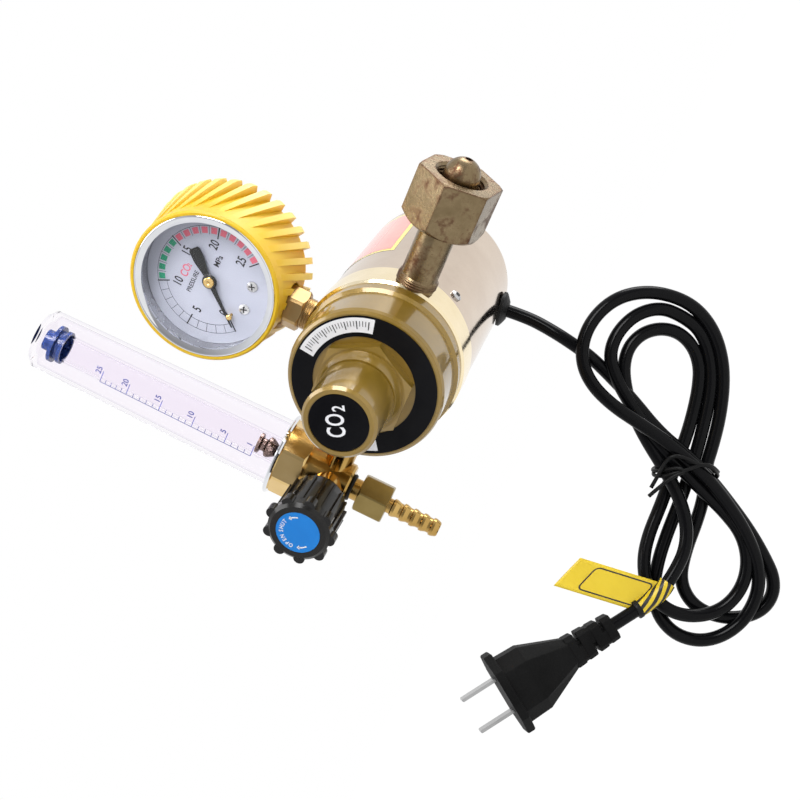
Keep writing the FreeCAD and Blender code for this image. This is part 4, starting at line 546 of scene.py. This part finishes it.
def dial_print():
    """The gauge's scale and words, and the small turned pieces in front of its dial."""
    def angle(value):
        return 225 - 10.8 * value

    face = flat_face((BODY_X, DIAL_Y, GAUGE_Z))
    black = Marks(face)
    black.sector(24.85, 25.05, 225, -45, 90)
    black.sector(20.9, 21.1, 225, 117, 36)
    for value in range(26):
        major = value % 5 == 0
        inner, outer = (19.6, 25.3) if major else (21.0, 24.9)
        black.bar(*polar(inner, angle(value)), *polar(outer, angle(value)), 0.55 if major else 0.2)
    for text, x, y in (("0", -12.0, -9.8), ("5", -16.0, 1.9), ("10", -7.4, 13.9),
                       ("15", 7.9, 14.4), ("20", 16.2, 3.9), ("25", 14.6, -9.6)):
        black.words(text, x, y, 4.1, -4, 0.72)
    black.words("PRESSURE", -4.4, 7.6, 2.1, -5, 0.85)
    black.words("MPa", 9.9, -0.2, 2.6, -5, 0.9)
    black.place("dial_print", PRINT_BLACK, "pointer_black")
    for name, look, values in (("dial_green", PRINT_GREEN, range(10, 15)),
                               ("dial_red_blocks", PRINT_RED, range(15, 25))):
        blocks = Marks(face)
        for value in values:
            blocks.sector(21.5, 24.4, angle(value) - 2.0, angle(value) - 8.8, 3)
        blocks.place(name, look, "dial_white")
    red = Marks(face)
    red.words("CO", -1.0, 12.2, 3.6, -5, 0.76)
    red.words("2", 2.2, 11.2, 2.1, -5, 0.8)
    red.place("dial_gas_words", PRINT_RED, "dial_white")
    lathe("pointer_cap", (BODY_X, -13.55, GAUGE_Z), -Y,
          [(2.45, 0.0), (2.35, 0.22), (2.0, 0.42), (1.2, 0.52), (0.75, 0.5), (0.7, 0.2), (0, 0.15)],
          LOOKS["yellow_brass"], "pointer")
    lathe("pointer_collar", (BODY_X, -12.15, GAUGE_Z), -Y, [(3.4, 0.0), (3.3, 0.35), (2.45, 0.6)],
          LOOKS["pointer_black"], "pointer")
    lathe("stop_pin_cap", (-91.98, -13.1, 68.0), -Y,
          [(0.7, 0), (1.45, 0.1), (1.5, 0.4), (1.2, 0.9), (0.6, 1.15), (0, 1.2)],
          LOOKS["yellow_brass"])
    lathe("bezel_lip", (BODY_X, BEZEL_Y, GAUGE_Z), -Y,
          [(32.4, 0.0), (32.35, 0.45), (32.0, 0.8), (31.5, 0.85), (31.0, 0.6), (30.0, 0.25), (29.05, 0.02)],
          LOOKS["chrome_trim"], steps=96)
    # Painted shade: a flat dark cross on each of the dial's two screws, in place of the shade in their cross
    # recesses.
    for number, side in enumerate((-5.9, 5.9)):
        cross = Marks(flat_face((BODY_X + side, -11.0, 63.5), 0.03))
        cross.bar(-1.4, -0.5, 1.4, 0.5, 0.55)
        cross.bar(-0.5, 1.4, 0.5, -1.4, 0.55)
        cross.place(f"dial_screw_cross_shade_{number}", PAINTED_RECESS_SHADE, "steel")


def labels():
    """The gas name on the cap, the blank patches on the ring label, and the heater's plain label."""
    gas = Marks(flat_face((BODY_X, GAS_LABEL_Y, 0)))
    gas.words("C", -4.3, -0.5, 7.6, 29, 0.62)
    gas.words("O", 0.6, 2.0, 7.6, 29, 0.62)
    gas.words("2", 6.0, 2.4, 5.2, 29, 0.76)
    gas.place("gas_letters", PRINT_WHITE, "white_rubber")
    patch = Marks(flat_face((BODY_X, RING_LABEL_Y, 0)))
    patch.sector(24.2, 30.7, 11.5, 84.5, 40)
    patch.sector(24.2, 30.2, -147, -172, 14)
    patch.place("ring_patches", PRINT_WHITE, "white_rubber")
    ticks = Marks(flat_face((BODY_X, RING_LABEL_Y, 0), 0.12))
    for number in range(25):
        at = 16 + number * 64 / 24
        inner, width = (25.6, 0.45) if number % 4 == 0 else (26.8, 0.3)
        ticks.bar(*polar(inner, at), *polar(29.2, at), width)
    ticks.place("ring_ticks", PRINT_BLACK, "black_label")

    def shell(lift):
        def spot(along, round_it):
            x, z = polar(SHELL_RADIUS + lift, round_it)
            return Vector((BODY_X + x, along, z))
        return spot

    edge = Marks(shell(0.07))
    field = Marks(shell(0.13))
    strips = 44
    for step in range(strips):
        a, b = 29.4 + step * 3, 32.4 + step * 3
        edge.shape([(31.1, a), (88, a), (88, b), (31.1, b)])
        if 0 < step < strips - 1:
            field.shape([(33.4, a), (85.7, a), (85.7, b), (33.4, b)])
    edge.place("heater_label_edge", LABEL_YELLOW, "tag_yellow")
    field.place("heater_label_field", LABEL_RED, "white_rubber")


def knob_print():
    """The knob's two words and the arrows that go with them."""
    marks = Marks(flat_face((TUBE_X, KNOB_DISC_Y, 0)))
    marks.arc_words("SHUT", 7.6, 91, 1.9, 14)
    marks.arc_words("OPEN", 7.6, 154, 1.9, 14)
    for tip, tail, back in ((52, 18, -1), (196, 232, 1)):
        marks.sector(7.2, 7.8, tail, tip + 6 * back, 8)
        head = [polar(7.5, tip), polar(6.4, tip + back * 9), polar(8.6, tip + back * 9)]
        marks.shape(head[::back])
    marks.place("knob_print", PRINT_WHITE, "white_rubber", "knob")


def flow_scale():
    """The flow tube's scale, on its tapered cover. Across is round the tube, and up is along it."""
    def cover(round_it, height):
        radius = 16.1 - 1.7 * (height - 26.5) / 125 + 0.06
        a = math.radians(-83.5) + round_it / radius
        return Vector((TUBE_X + radius * math.cos(a), radius * math.sin(a), height))

    marks = Marks(cover)
    at_one, at_twenty, at_end = 36.9, 100.7, 114.2
    marks.bar(0, at_one, 0, at_end, 0.30)
    heights = {value: at_one + (value - 1) * 3.358 for value in range(1, 21)}
    heights.update({value: at_twenty + (value - 20) * 2.7 for value in range(21, 26)})
    for value, height in heights.items():
        major = value == 1 or value % 5 == 0
        marks.bar(0, height, 5.2 if major else 2.0, height, 0.34 if major else 0.28)
        if major:
            marks.words(str(value), 5.0, height + 2.4, 2.7, 0, 0.85)
    marks.place("flow_scale", PRINT_BLUE, "blue_plastic")


def threads():
    """Thread ridges on the CAD's plain cylinders, and painted shade on the shell's screws: thin dark discs
    where their sockets lie.
    """
    thread("nipple_thread", (-44.6, 0, 0), X, 3.6, 8.6, 0.45, 1.15, LOOKS["aged_brass"])
    thread("gauge_thread", (BODY_X, 0, 36.3), Z, 3.6, 6.9, 0.4, 1.0, CAST_BRASS)
    thread("nut_thread", (-6.0, 0, 0), X, 12.0, 10.4, -0.55, 1.8, LOOKS["aged_brass"],
           "inlet_nut")
    # Painted shade: a thin dark disc on each of the shell's three screws, in place of the shade in its
    # socket.
    for number, angle in enumerate((-28, -148, 92)):
        x, z = polar(1, angle)
        out = Vector((x, 0, z))
        top = Vector((BODY_X, 14.5, 0)) + out * 37.44
        lathe(f"screw_socket_shade_{number}", top, out, [(1.25, 0.0), (1.2, 0.08), (1.0, 0.02), (0, 0.01)],
              PAINTED_RECESS_SHADE, steps=6)


# The cord: across the hank, up it and out towards the camera, in millimetres.

ACROSS = Vector((0.353, 0.257, -0.900)).normalized()
OUT = Vector((0.496, -0.867, -0.053)).normalized()
UP = OUT.cross(ACROSS).normalized()
TIE = (-99.55, 56.8, -146.7)
CORD_RADIUS = 3.2
GROMMET = (BODY_X, 78.5, 0)
CORD_TURNS = [
    (-60, 65.3, -4), (-46.5, 56, -2), (-38.5, 49.0, -2.0), (-25.0, 34.5, 0.5), (-11.5, 17.8, 0.5),
    (2.5, 6.4, 0.5), (12.9, -4.3, 0.5), (23.2, -17.3, 0.0), (32.0, -29.3, -1.0), (38.8, -41.2, -1.0),
    (43.2, -50.9, -1.0), (42.9, -59.9, -1.5), (37.3, -67.3, -2.0), (26.8, -70.8, -3.0), (14.9, -69.6, -4.0),
    (4.4, -63.6, -4.5), (-0.8, -52.4, -4.5), (2.2, -38.2, -4.5), (7.4, -24.8, -4.5), (11.1, -12.1, -4.5),
    (11.6, 0.9, -4.5), (14.9, 11.1, -4.5), (18.3, 24.5, -4.5), (20.1, 39.5, -4.0), (19.3, 52.9, -3.0),
    (14.9, 66.4, -2.0), (6.6, 76.8, -1.0), (-4.6, 82.5, 0.0), (-18.0, 84.6, 1.0), (-31.5, 81.6, 2.0),
    (-41.9, 73.1, 2.5), (-47.9, 61.9, 3.0), (-48.3, 49.9, 3.5), (-43.4, 39.5, 5.0), (-33.9, 30.2, 6.5),
    (-22.6, 22.7, 7.0), (-11.2, 15.0, 7.5), (-0.8, 6.6, 7.5), (9.0, -2.4, 7.0), (18.9, -14.4, 6.0),
    (28.2, -28.4, 5.0), (34.3, -42.7, 4.0), (35.5, -56.1, 2.5), (30.5, -68.8, 1.0), (20.8, -77.8, 0.0),
    (8.9, -81.5, -1.0), (-3.1, -78.5, -2.0), (-11.3, -69.6, -3.0), (-13.5, -57.6, -3.5), (-11.3, -44.2, -4.0),
    (-6.8, -30.7, -4.5), (-0.8, -15.8, -4.5), (4.4, -0.9, -4.5), (8.1, 11.1, -4.5), (11.9, 26.0, -4.5),
    (14.6, 41.0, -4.5), (13.7, 54.4, -4.0), (8.9, 66.4, -3.0), (-0.1, 73.1, -2.0), (-10.5, 77.1, -1.0),
    (-22.5, 73.8, 0.0), (-31.5, 64.9, 0.5), (-35.2, 54.4, 1.0), (-32.2, 43.9, 1.0), (-26.6, 33.4, 1.5),
    (-20.2, 23.8, 2.5), (-12.6, 13.2, 3.0), (-1.0, 0.2, 3.0), (8.4, -9.4, 3.0), (18.2, -18.8, 3.0),
    (26.8, -29.3, 3.0), (30.1, -41.2, 3.0), (28.3, -53.2, 3.0), (21.6, -62.9, 3.0), (11.9, -68.1, 3.0),
    (-0.1, -68.8, 3.0), (-10.5, -64.4, 3.0), (-17.7, -54.6, 1.5), (-18.8, -42.7, -1.0), (-15.8, -30.7, -3.0),
    (-9.8, -17.3, -4.5), (-1.3, 5.9, -4.5), (2.9, 17.1, -4.5), (6.2, 29.0, -4.5), (8.3, 39.5, -4.5),
    (8.8, 49.5, -4.3), (5.6, 58.8, -4.0), (-1.2, 65.4, -3.5), (-10.0, 67.4, -3.0), (-19.0, 64.9, -2.5),
    (-25.6, 58.2, -2.2), (-28.0, 48.8, -1.8), (-27.0, 38.6, -1.3), (-24.0, 27.6, -0.4), (-18.0, 14.8, 1.5),
    (-9.2, 0.4, 3.0), (-2.8, -12.2, 4.0), (0.7, -24.8, 5.5), (-0.1, -36.7, 7.0), (-5.3, -47.2, 7.8),
    (-13.2, -58.3, 8.9), (-24.2, -65.0, 10.6), (-35.3, -71.6, 12.3),
]


def hank(across, up, out):
    """A place in the hank's own measures, in metres."""
    return mm(*TIE) + (ACROSS * across + UP * up + OUT * out) * MM


def spline(name, points, radius, look, sides=5):
    """A round bar along an open curve with these route points, which are in metres."""
    data = bpy.data.curves.new(name, "CURVE")
    data.dimensions = "3D"
    data.bevel_depth = radius * MM
    data.bevel_resolution = sides
    data.resolution_u = 10
    line = data.splines.new("NURBS")
    line.points.add(len(points) - 1)
    for target, place in zip(line.points, points):
        target.co = (*place, 1)
    line.order_u = 3
    line.use_endpoint_u = True
    data.use_fill_caps = True
    data.materials.append(look)
    obj = bpy.data.objects.new(name, data)
    bpy.context.collection.objects.link(obj)
    return obj


def cord():
    """One open curve from the grommet to the plug, with the route that the CAD's cord is drawn along."""
    outwards = Vector((math.sin(math.radians(10)), 0, -math.cos(math.radians(10))))
    route = [mm(*GROMMET) + outwards * 31 * MM, mm(*GROMMET) + outwards * 48 * MM]
    route += [hank(*point) for point in CORD_TURNS]
    line = spline("cord", route, CORD_RADIUS, LOOKS["cord_black"])
    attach(line, ROOT)
    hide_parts("cord_lead", "cord_hank", "cord_tail")
    return line, route


def cord_middle(route):
    """Points along the cord's own spline in millimetres, from its plug end back to its start."""
    line = spline("cord_middle", route, 0.0, LOOKS["cord_black"])
    line.data.use_fill_caps = False
    bpy.context.view_layer.update()
    mesh = bpy.data.meshes.new_from_object(line)
    points = [v.co / MM for v in reversed(mesh.vertices)]
    curve = line.data
    bpy.data.objects.remove(line)
    bpy.data.curves.remove(curve)
    bpy.data.meshes.remove(mesh)
    return points


def along_cord(middle, back):
    """The place this many millimetres back from the cord's end, and the way from there towards the plug."""
    for near, far in zip(middle, middle[1:]):
        step = (far - near).length
        if back <= step:
            return near.lerp(far, back / step), (near - far).normalized()
        back -= step


def twist_tie():
    """Two turns of a plastic-coated wire round the bundle, twisted at the front, with its two cut ends."""
    turns = [
        (-16.8, -7.9, 9.0), (-13.2, -1.5, 9.5), (-9.9, 4.7, 10.0), (-6.6, 7.4, 11.4), (-0.9, 6.1, 11.9),
        (4.5, 3.0, 11.9), (10.0, 2.6, 11.2), (13.3, 0.0, 8.5), (16.4, -3.0, 2.0), (15.7, -3.6, -5.5),
        (11.2, -2.5, -9.0), (0.0, -0.5, -9.0), (-10.7, 0.5, -7.5), (-14.0, -1.2, -1.0), (-14.6, -2.6, 5.0),
        (-9.8, -2.4, 10.2), (-5.9, -0.8, 11.9), (1.5, 1.4, 12.1), (7.0, 3.4, 11.8), (11.7, 2.2, 10.0),
        (15.4, -0.6, 5.5), (16.7, -1.0, -1.0), (14.2, -0.6, -8.0), (6.0, 1.2, -9.2), (-5.0, 2.2, -8.6),
        (-13.4, 1.0, -3.5), (-15.0, -0.6, 3.0), (-9.2, 0.8, 10.2), (-4.2, 1.6, 12.6), (-1.6, -0.4, 13.2),
        (-6.0, -1.6, 13.0), (-12.0, -6.2, 11.5), (-18.0, -11.8, 10.0),
    ]
    line = spline("twist_tie", [hank(*point) for point in turns], 0.95, LOOKS["tie_black"], 3)
    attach(line, ROOT)
    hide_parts("cord_tie")
    return line


def plug_axes():
    """The plug's own directions: along its blades' row, through its thickness, and towards its tips."""
    axis = (ACROSS * -0.85 + UP * -0.51 + OUT * 0.13).normalized()
    side = OUT.cross(axis).normalized()
    return side, axis.cross(side).normalized(), axis


def plug_spot(x, y, z):
    """A place in the plug's own measures, in millimetres, from the foot of its relief."""
    side, thick, axis = plug_axes()
    return hank(*CORD_TURNS[-1]) / MM + side * x + thick * y + axis * z


FLAG_LENGTH = 40.0
FLAG_HALF = 8.0


def flag(u, v, lift=0.0):
    """A point of the tag's flag: u runs along it from the cord and v across it, from -1 to 1."""
    centre = Vector((0, 0, -23.5))
    along = Vector((-0.7466, 0, 0.6652))
    wide = Vector((-0.6652, 0, -0.7466))
    bow = 0.55 * math.sin(math.pi * u) + 0.35 * (v * v) * math.sin(2.2 * u)
    here = centre + along * (3.4 + FLAG_LENGTH * u - 4.2 * v) + wide * (FLAG_HALF * v)
    return plug_spot(here.x, bow + lift, here.z)


def tag_sheet():
    """The flag's thin sheet, closed round its rim."""
    columns, rows, half_thick = 30, 10, 0.2
    points = []
    for side in (half_thick, -half_thick):
        for column in range(columns + 1):
            for row in range(rows + 1):
                points.append(flag(column / columns, row / rows * 2 - 1, side))
    step = rows + 1
    back = (columns + 1) * step
    faces = []
    for column in range(columns):
        for row in range(rows):
            a = column * step + row
            faces.append((a, a + step, a + step + 1, a + 1))
            faces.append((back + a, back + a + 1, back + a + step + 1, back + a + step))
    rim = [c * step for c in range(columns + 1)] + [columns * step + r for r in range(1, rows + 1)]
    rim += [c * step + rows for c in range(columns - 1, -1, -1)] + [r for r in range(rows - 1, 0, -1)]
    for a, b in zip(rim, rim[1:] + rim[:1]):
        faces.append((b, a, back + a, back + b))
    return piece("tag_flag", points, faces, LOOKS["tag_yellow"], smooth=True)


def tag_outline(name, lift):
    """The empty outline with rounded corners that is printed on each side of the flag."""
    reach_u, reach_v, half_line, longest = 42, 8.5, 0.36, 3
    marks = Marks(lambda u, v: flag(u, v, lift))
    corners = []
    for cu, cv, start in ((0.70, 0.50, 0), (0.10, 0.50, 90), (0.10, -0.50, 180), (0.70, -0.50, 270)):
        for turn in range(5):
            a = math.radians(start + turn * 22.5)
            corners.append((cu + 0.055 * math.cos(a), cv + 0.26 * math.sin(a)))
    for first, second in zip(corners, corners[1:] + corners[:1]):
        du, dv = second[0] - first[0], second[1] - first[1]
        parts = max(1, int(max(abs(du) * reach_u, abs(dv) * reach_v) / longest))
        for part in range(parts):
            u0, v0 = first[0] + du * part / parts, first[1] + dv * part / parts
            u1, v1 = first[0] + du * (part + 1) / parts, first[1] + dv * (part + 1) / parts
            run = Vector(((u1 - u0) * reach_u, (v1 - v0) * reach_v)).normalized() * half_line
            u, v = run.y / reach_u, run.x / reach_v
            marks.shape([(u0 + u, v0 - v), (u1 + u, v1 - v), (u1 - u, v1 + v), (u0 - u, v0 + v)])
    return marks.place(name, PRINT_BLACK, "pointer_black")


def tag_sleeve(middle):
    """The tag's striped wrap, which follows the cord."""
    around, length, stripes = 84, 24, 7
    points = []
    for row in range(length + 1):
        place, way = along_cord(middle, 14.8 + 18.4 * row / length)
        side = plug_axes()[0]
        side = (side - way * side.dot(way)).normalized()
        thick = way.cross(side)
        for spot in range(around):
            a = 2 * math.pi * spot / around + row * 0.075
            swell = 4.1 + 0.12 * math.sin(3 * a + row * 0.4)
            points.append(place + side * swell * math.cos(a) + thick * swell * math.sin(a))
    faces = [(a, d, c, b) for a, b, c, d in tube_faces(length + 1, around)]
    looks = [LOOKS["tag_yellow"], PRINT_BLACK]
    sleeve = piece("tag_sleeve", points, faces, looks, smooth=True)
    for index, face in enumerate(sleeve.data.polygons):
        face.material_index = int((index % around) / around * stripes * 2) % 2
    return sleeve


def tag(middle):
    """A folded label: a flag that bows a little, a striped sleeve round the cord, and a ring at its end."""
    sheet = tag_sheet()
    outline = [tag_outline("tag_outline_front", 0.26), tag_outline("tag_outline_back", -0.26)]
    sleeve = tag_sleeve(middle)
    place, way = along_cord(middle, 15.4)
    collar = lathe("tag_collar", place, way,
                   [(3.25, 0), (4.3, 0.1), (4.45, 0.5), (4.45, 2.0), (4.3, 2.4), (3.25, 2.5)],
                   LOOKS["black_rubber"])
    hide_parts("cord_tag")
    return [sheet, sleeve, collar] + outline


def eight(wide, deep, shift=0.0, cut=0.30):
    """An eight-sided outline: a block of the plug's relief, or the web between two blocks."""
    x, y = wide / 2, deep / 2
    a, b = x * (1 - cut), y * (1 - cut)
    corners = ((-x, -b), (-a, -y), (a, -y), (x, -b), (x, b), (a, y), (-a, y), (-x, b))
    return [(shift + u, v) for u, v in corners]


def blunt(wide, deep):
    """The outline of the plug's body and flange, with long sloping corners."""
    x, y = wide / 2, deep / 2
    a, b = wide * 0.3, deep * 0.22
    return [(-x, -b), (-a, -y), (a, -y), (x, -b), (x, b), (a, y), (-a, y), (-x, b)]


def plug_shell():
    """The moulded plug: a relief of blocks joined by webs on alternate sides, a faceted body and a flange."""
    points = []
    faces = []

    def loft(*sections):
        start = len(points)
        size = len(sections[0][1])
        for z, outline in sections:
            points.extend(plug_spot(x, y, z) for x, y in outline)
        faces.append(tuple(start + i for i in reversed(range(size))))
        faces.append(tuple(start + (len(sections) - 1) * size + i for i in range(size)))
        faces.extend(tube_faces(len(sections), size, start))

    blocks, pitch = 4, 6.4
    for number in range(blocks):
        low = number * pitch
        wide = 12.4 + number * 0.9
        loft((low, eight(wide - 0.5, 10.8)), (low + 0.6, eight(wide, 11.2)),
             (low + 4.4, eight(wide + 0.4, 11.6)), (low + 4.9, eight(wide, 11.2)))
        if number < blocks - 1:
            web = eight(wide * 0.62, 11.0, wide * 0.18 * (-1) ** number)
            core = eight(7.4, 7.4)
            loft((low + 4.0, web), (low + 7.4, web))
            loft((low + 4.0, core), (low + 7.4, core))
    loft((23.6, blunt(15.0, 12.75)), (44.2, blunt(32.0, 20.4)), (56.2, blunt(32.8, 20.4)))
    loft((55.8, blunt(39.0, 23.2)), (56.4, blunt(40.0, 24.0)),
         (59.4, blunt(40.0, 24.0)), (60.0, blunt(39.0, 23.2)))
    shell = piece("plug_shell", points, faces, PLUG_BLACK)
    edges = shell.modifiers.new("soft_edges", "BEVEL")
    edges.width = 0.7 * MM
    edges.segments = 3
    edges.limit_method = "ANGLE"
    edges.angle_limit = math.radians(20)
    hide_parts("plug_body")
    return shell


def stage():
    """A white floor that stays white to the camera apart from a faint shadow."""
    bpy.context.view_layer.update()
    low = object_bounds()[0]
    reach, gap = 3.0, 0.002
    data = bpy.data.meshes.new("floor")
    corners = [(-reach, -reach, 0), (reach, -reach, 0), (reach, reach, 0), (-reach, reach, 0)]
    data.from_pydata(corners, [], [(0, 1, 2, 3)])
    floor = bpy.data.objects.new("floor", data)
    floor.location = (0, 0, low.z - gap)
    bpy.context.collection.objects.link(floor)
    n = Nodes("floor_paint")
    tone = n.noise(n.coordinates(), 2.5, 2, 0.5)
    colour = n.ramp(tone, (0.3, (0.88, 0.88, 0.88)), (0.7, (0.90, 0.90, 0.90)))
    paint = n.principled(Base_Color=colour, Roughness=0.9)
    glow = n.add("ShaderNodeEmission", Color=(1, 1, 1, 1), Strength=1.05)
    ray = n.add("ShaderNodeLightPath")
    seen = n.math("MAXIMUM", ray.outputs["Is Camera Ray"], ray.outputs["Is Transmission Ray"])
    seen = n.math("MAXIMUM", seen, ray.outputs["Is Glossy Ray"])
    data.materials.append(n.output(n.mixed(n.math("MULTIPLY", seen, 0.93), paint, glow)))
    floor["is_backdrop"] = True


camera()
world()
studio()
finishes()
cord_line, cord_route = cord()
dial_print()
labels()
knob_print()
flow_scale()
threads()
on_cord = [twist_tie(), plug_shell()] + tag(cord_middle(cord_route)) + [frame["nodes"]["plug_blades"]]
stage()
bpy.context.scene.view_settings.view_transform = "Standard"
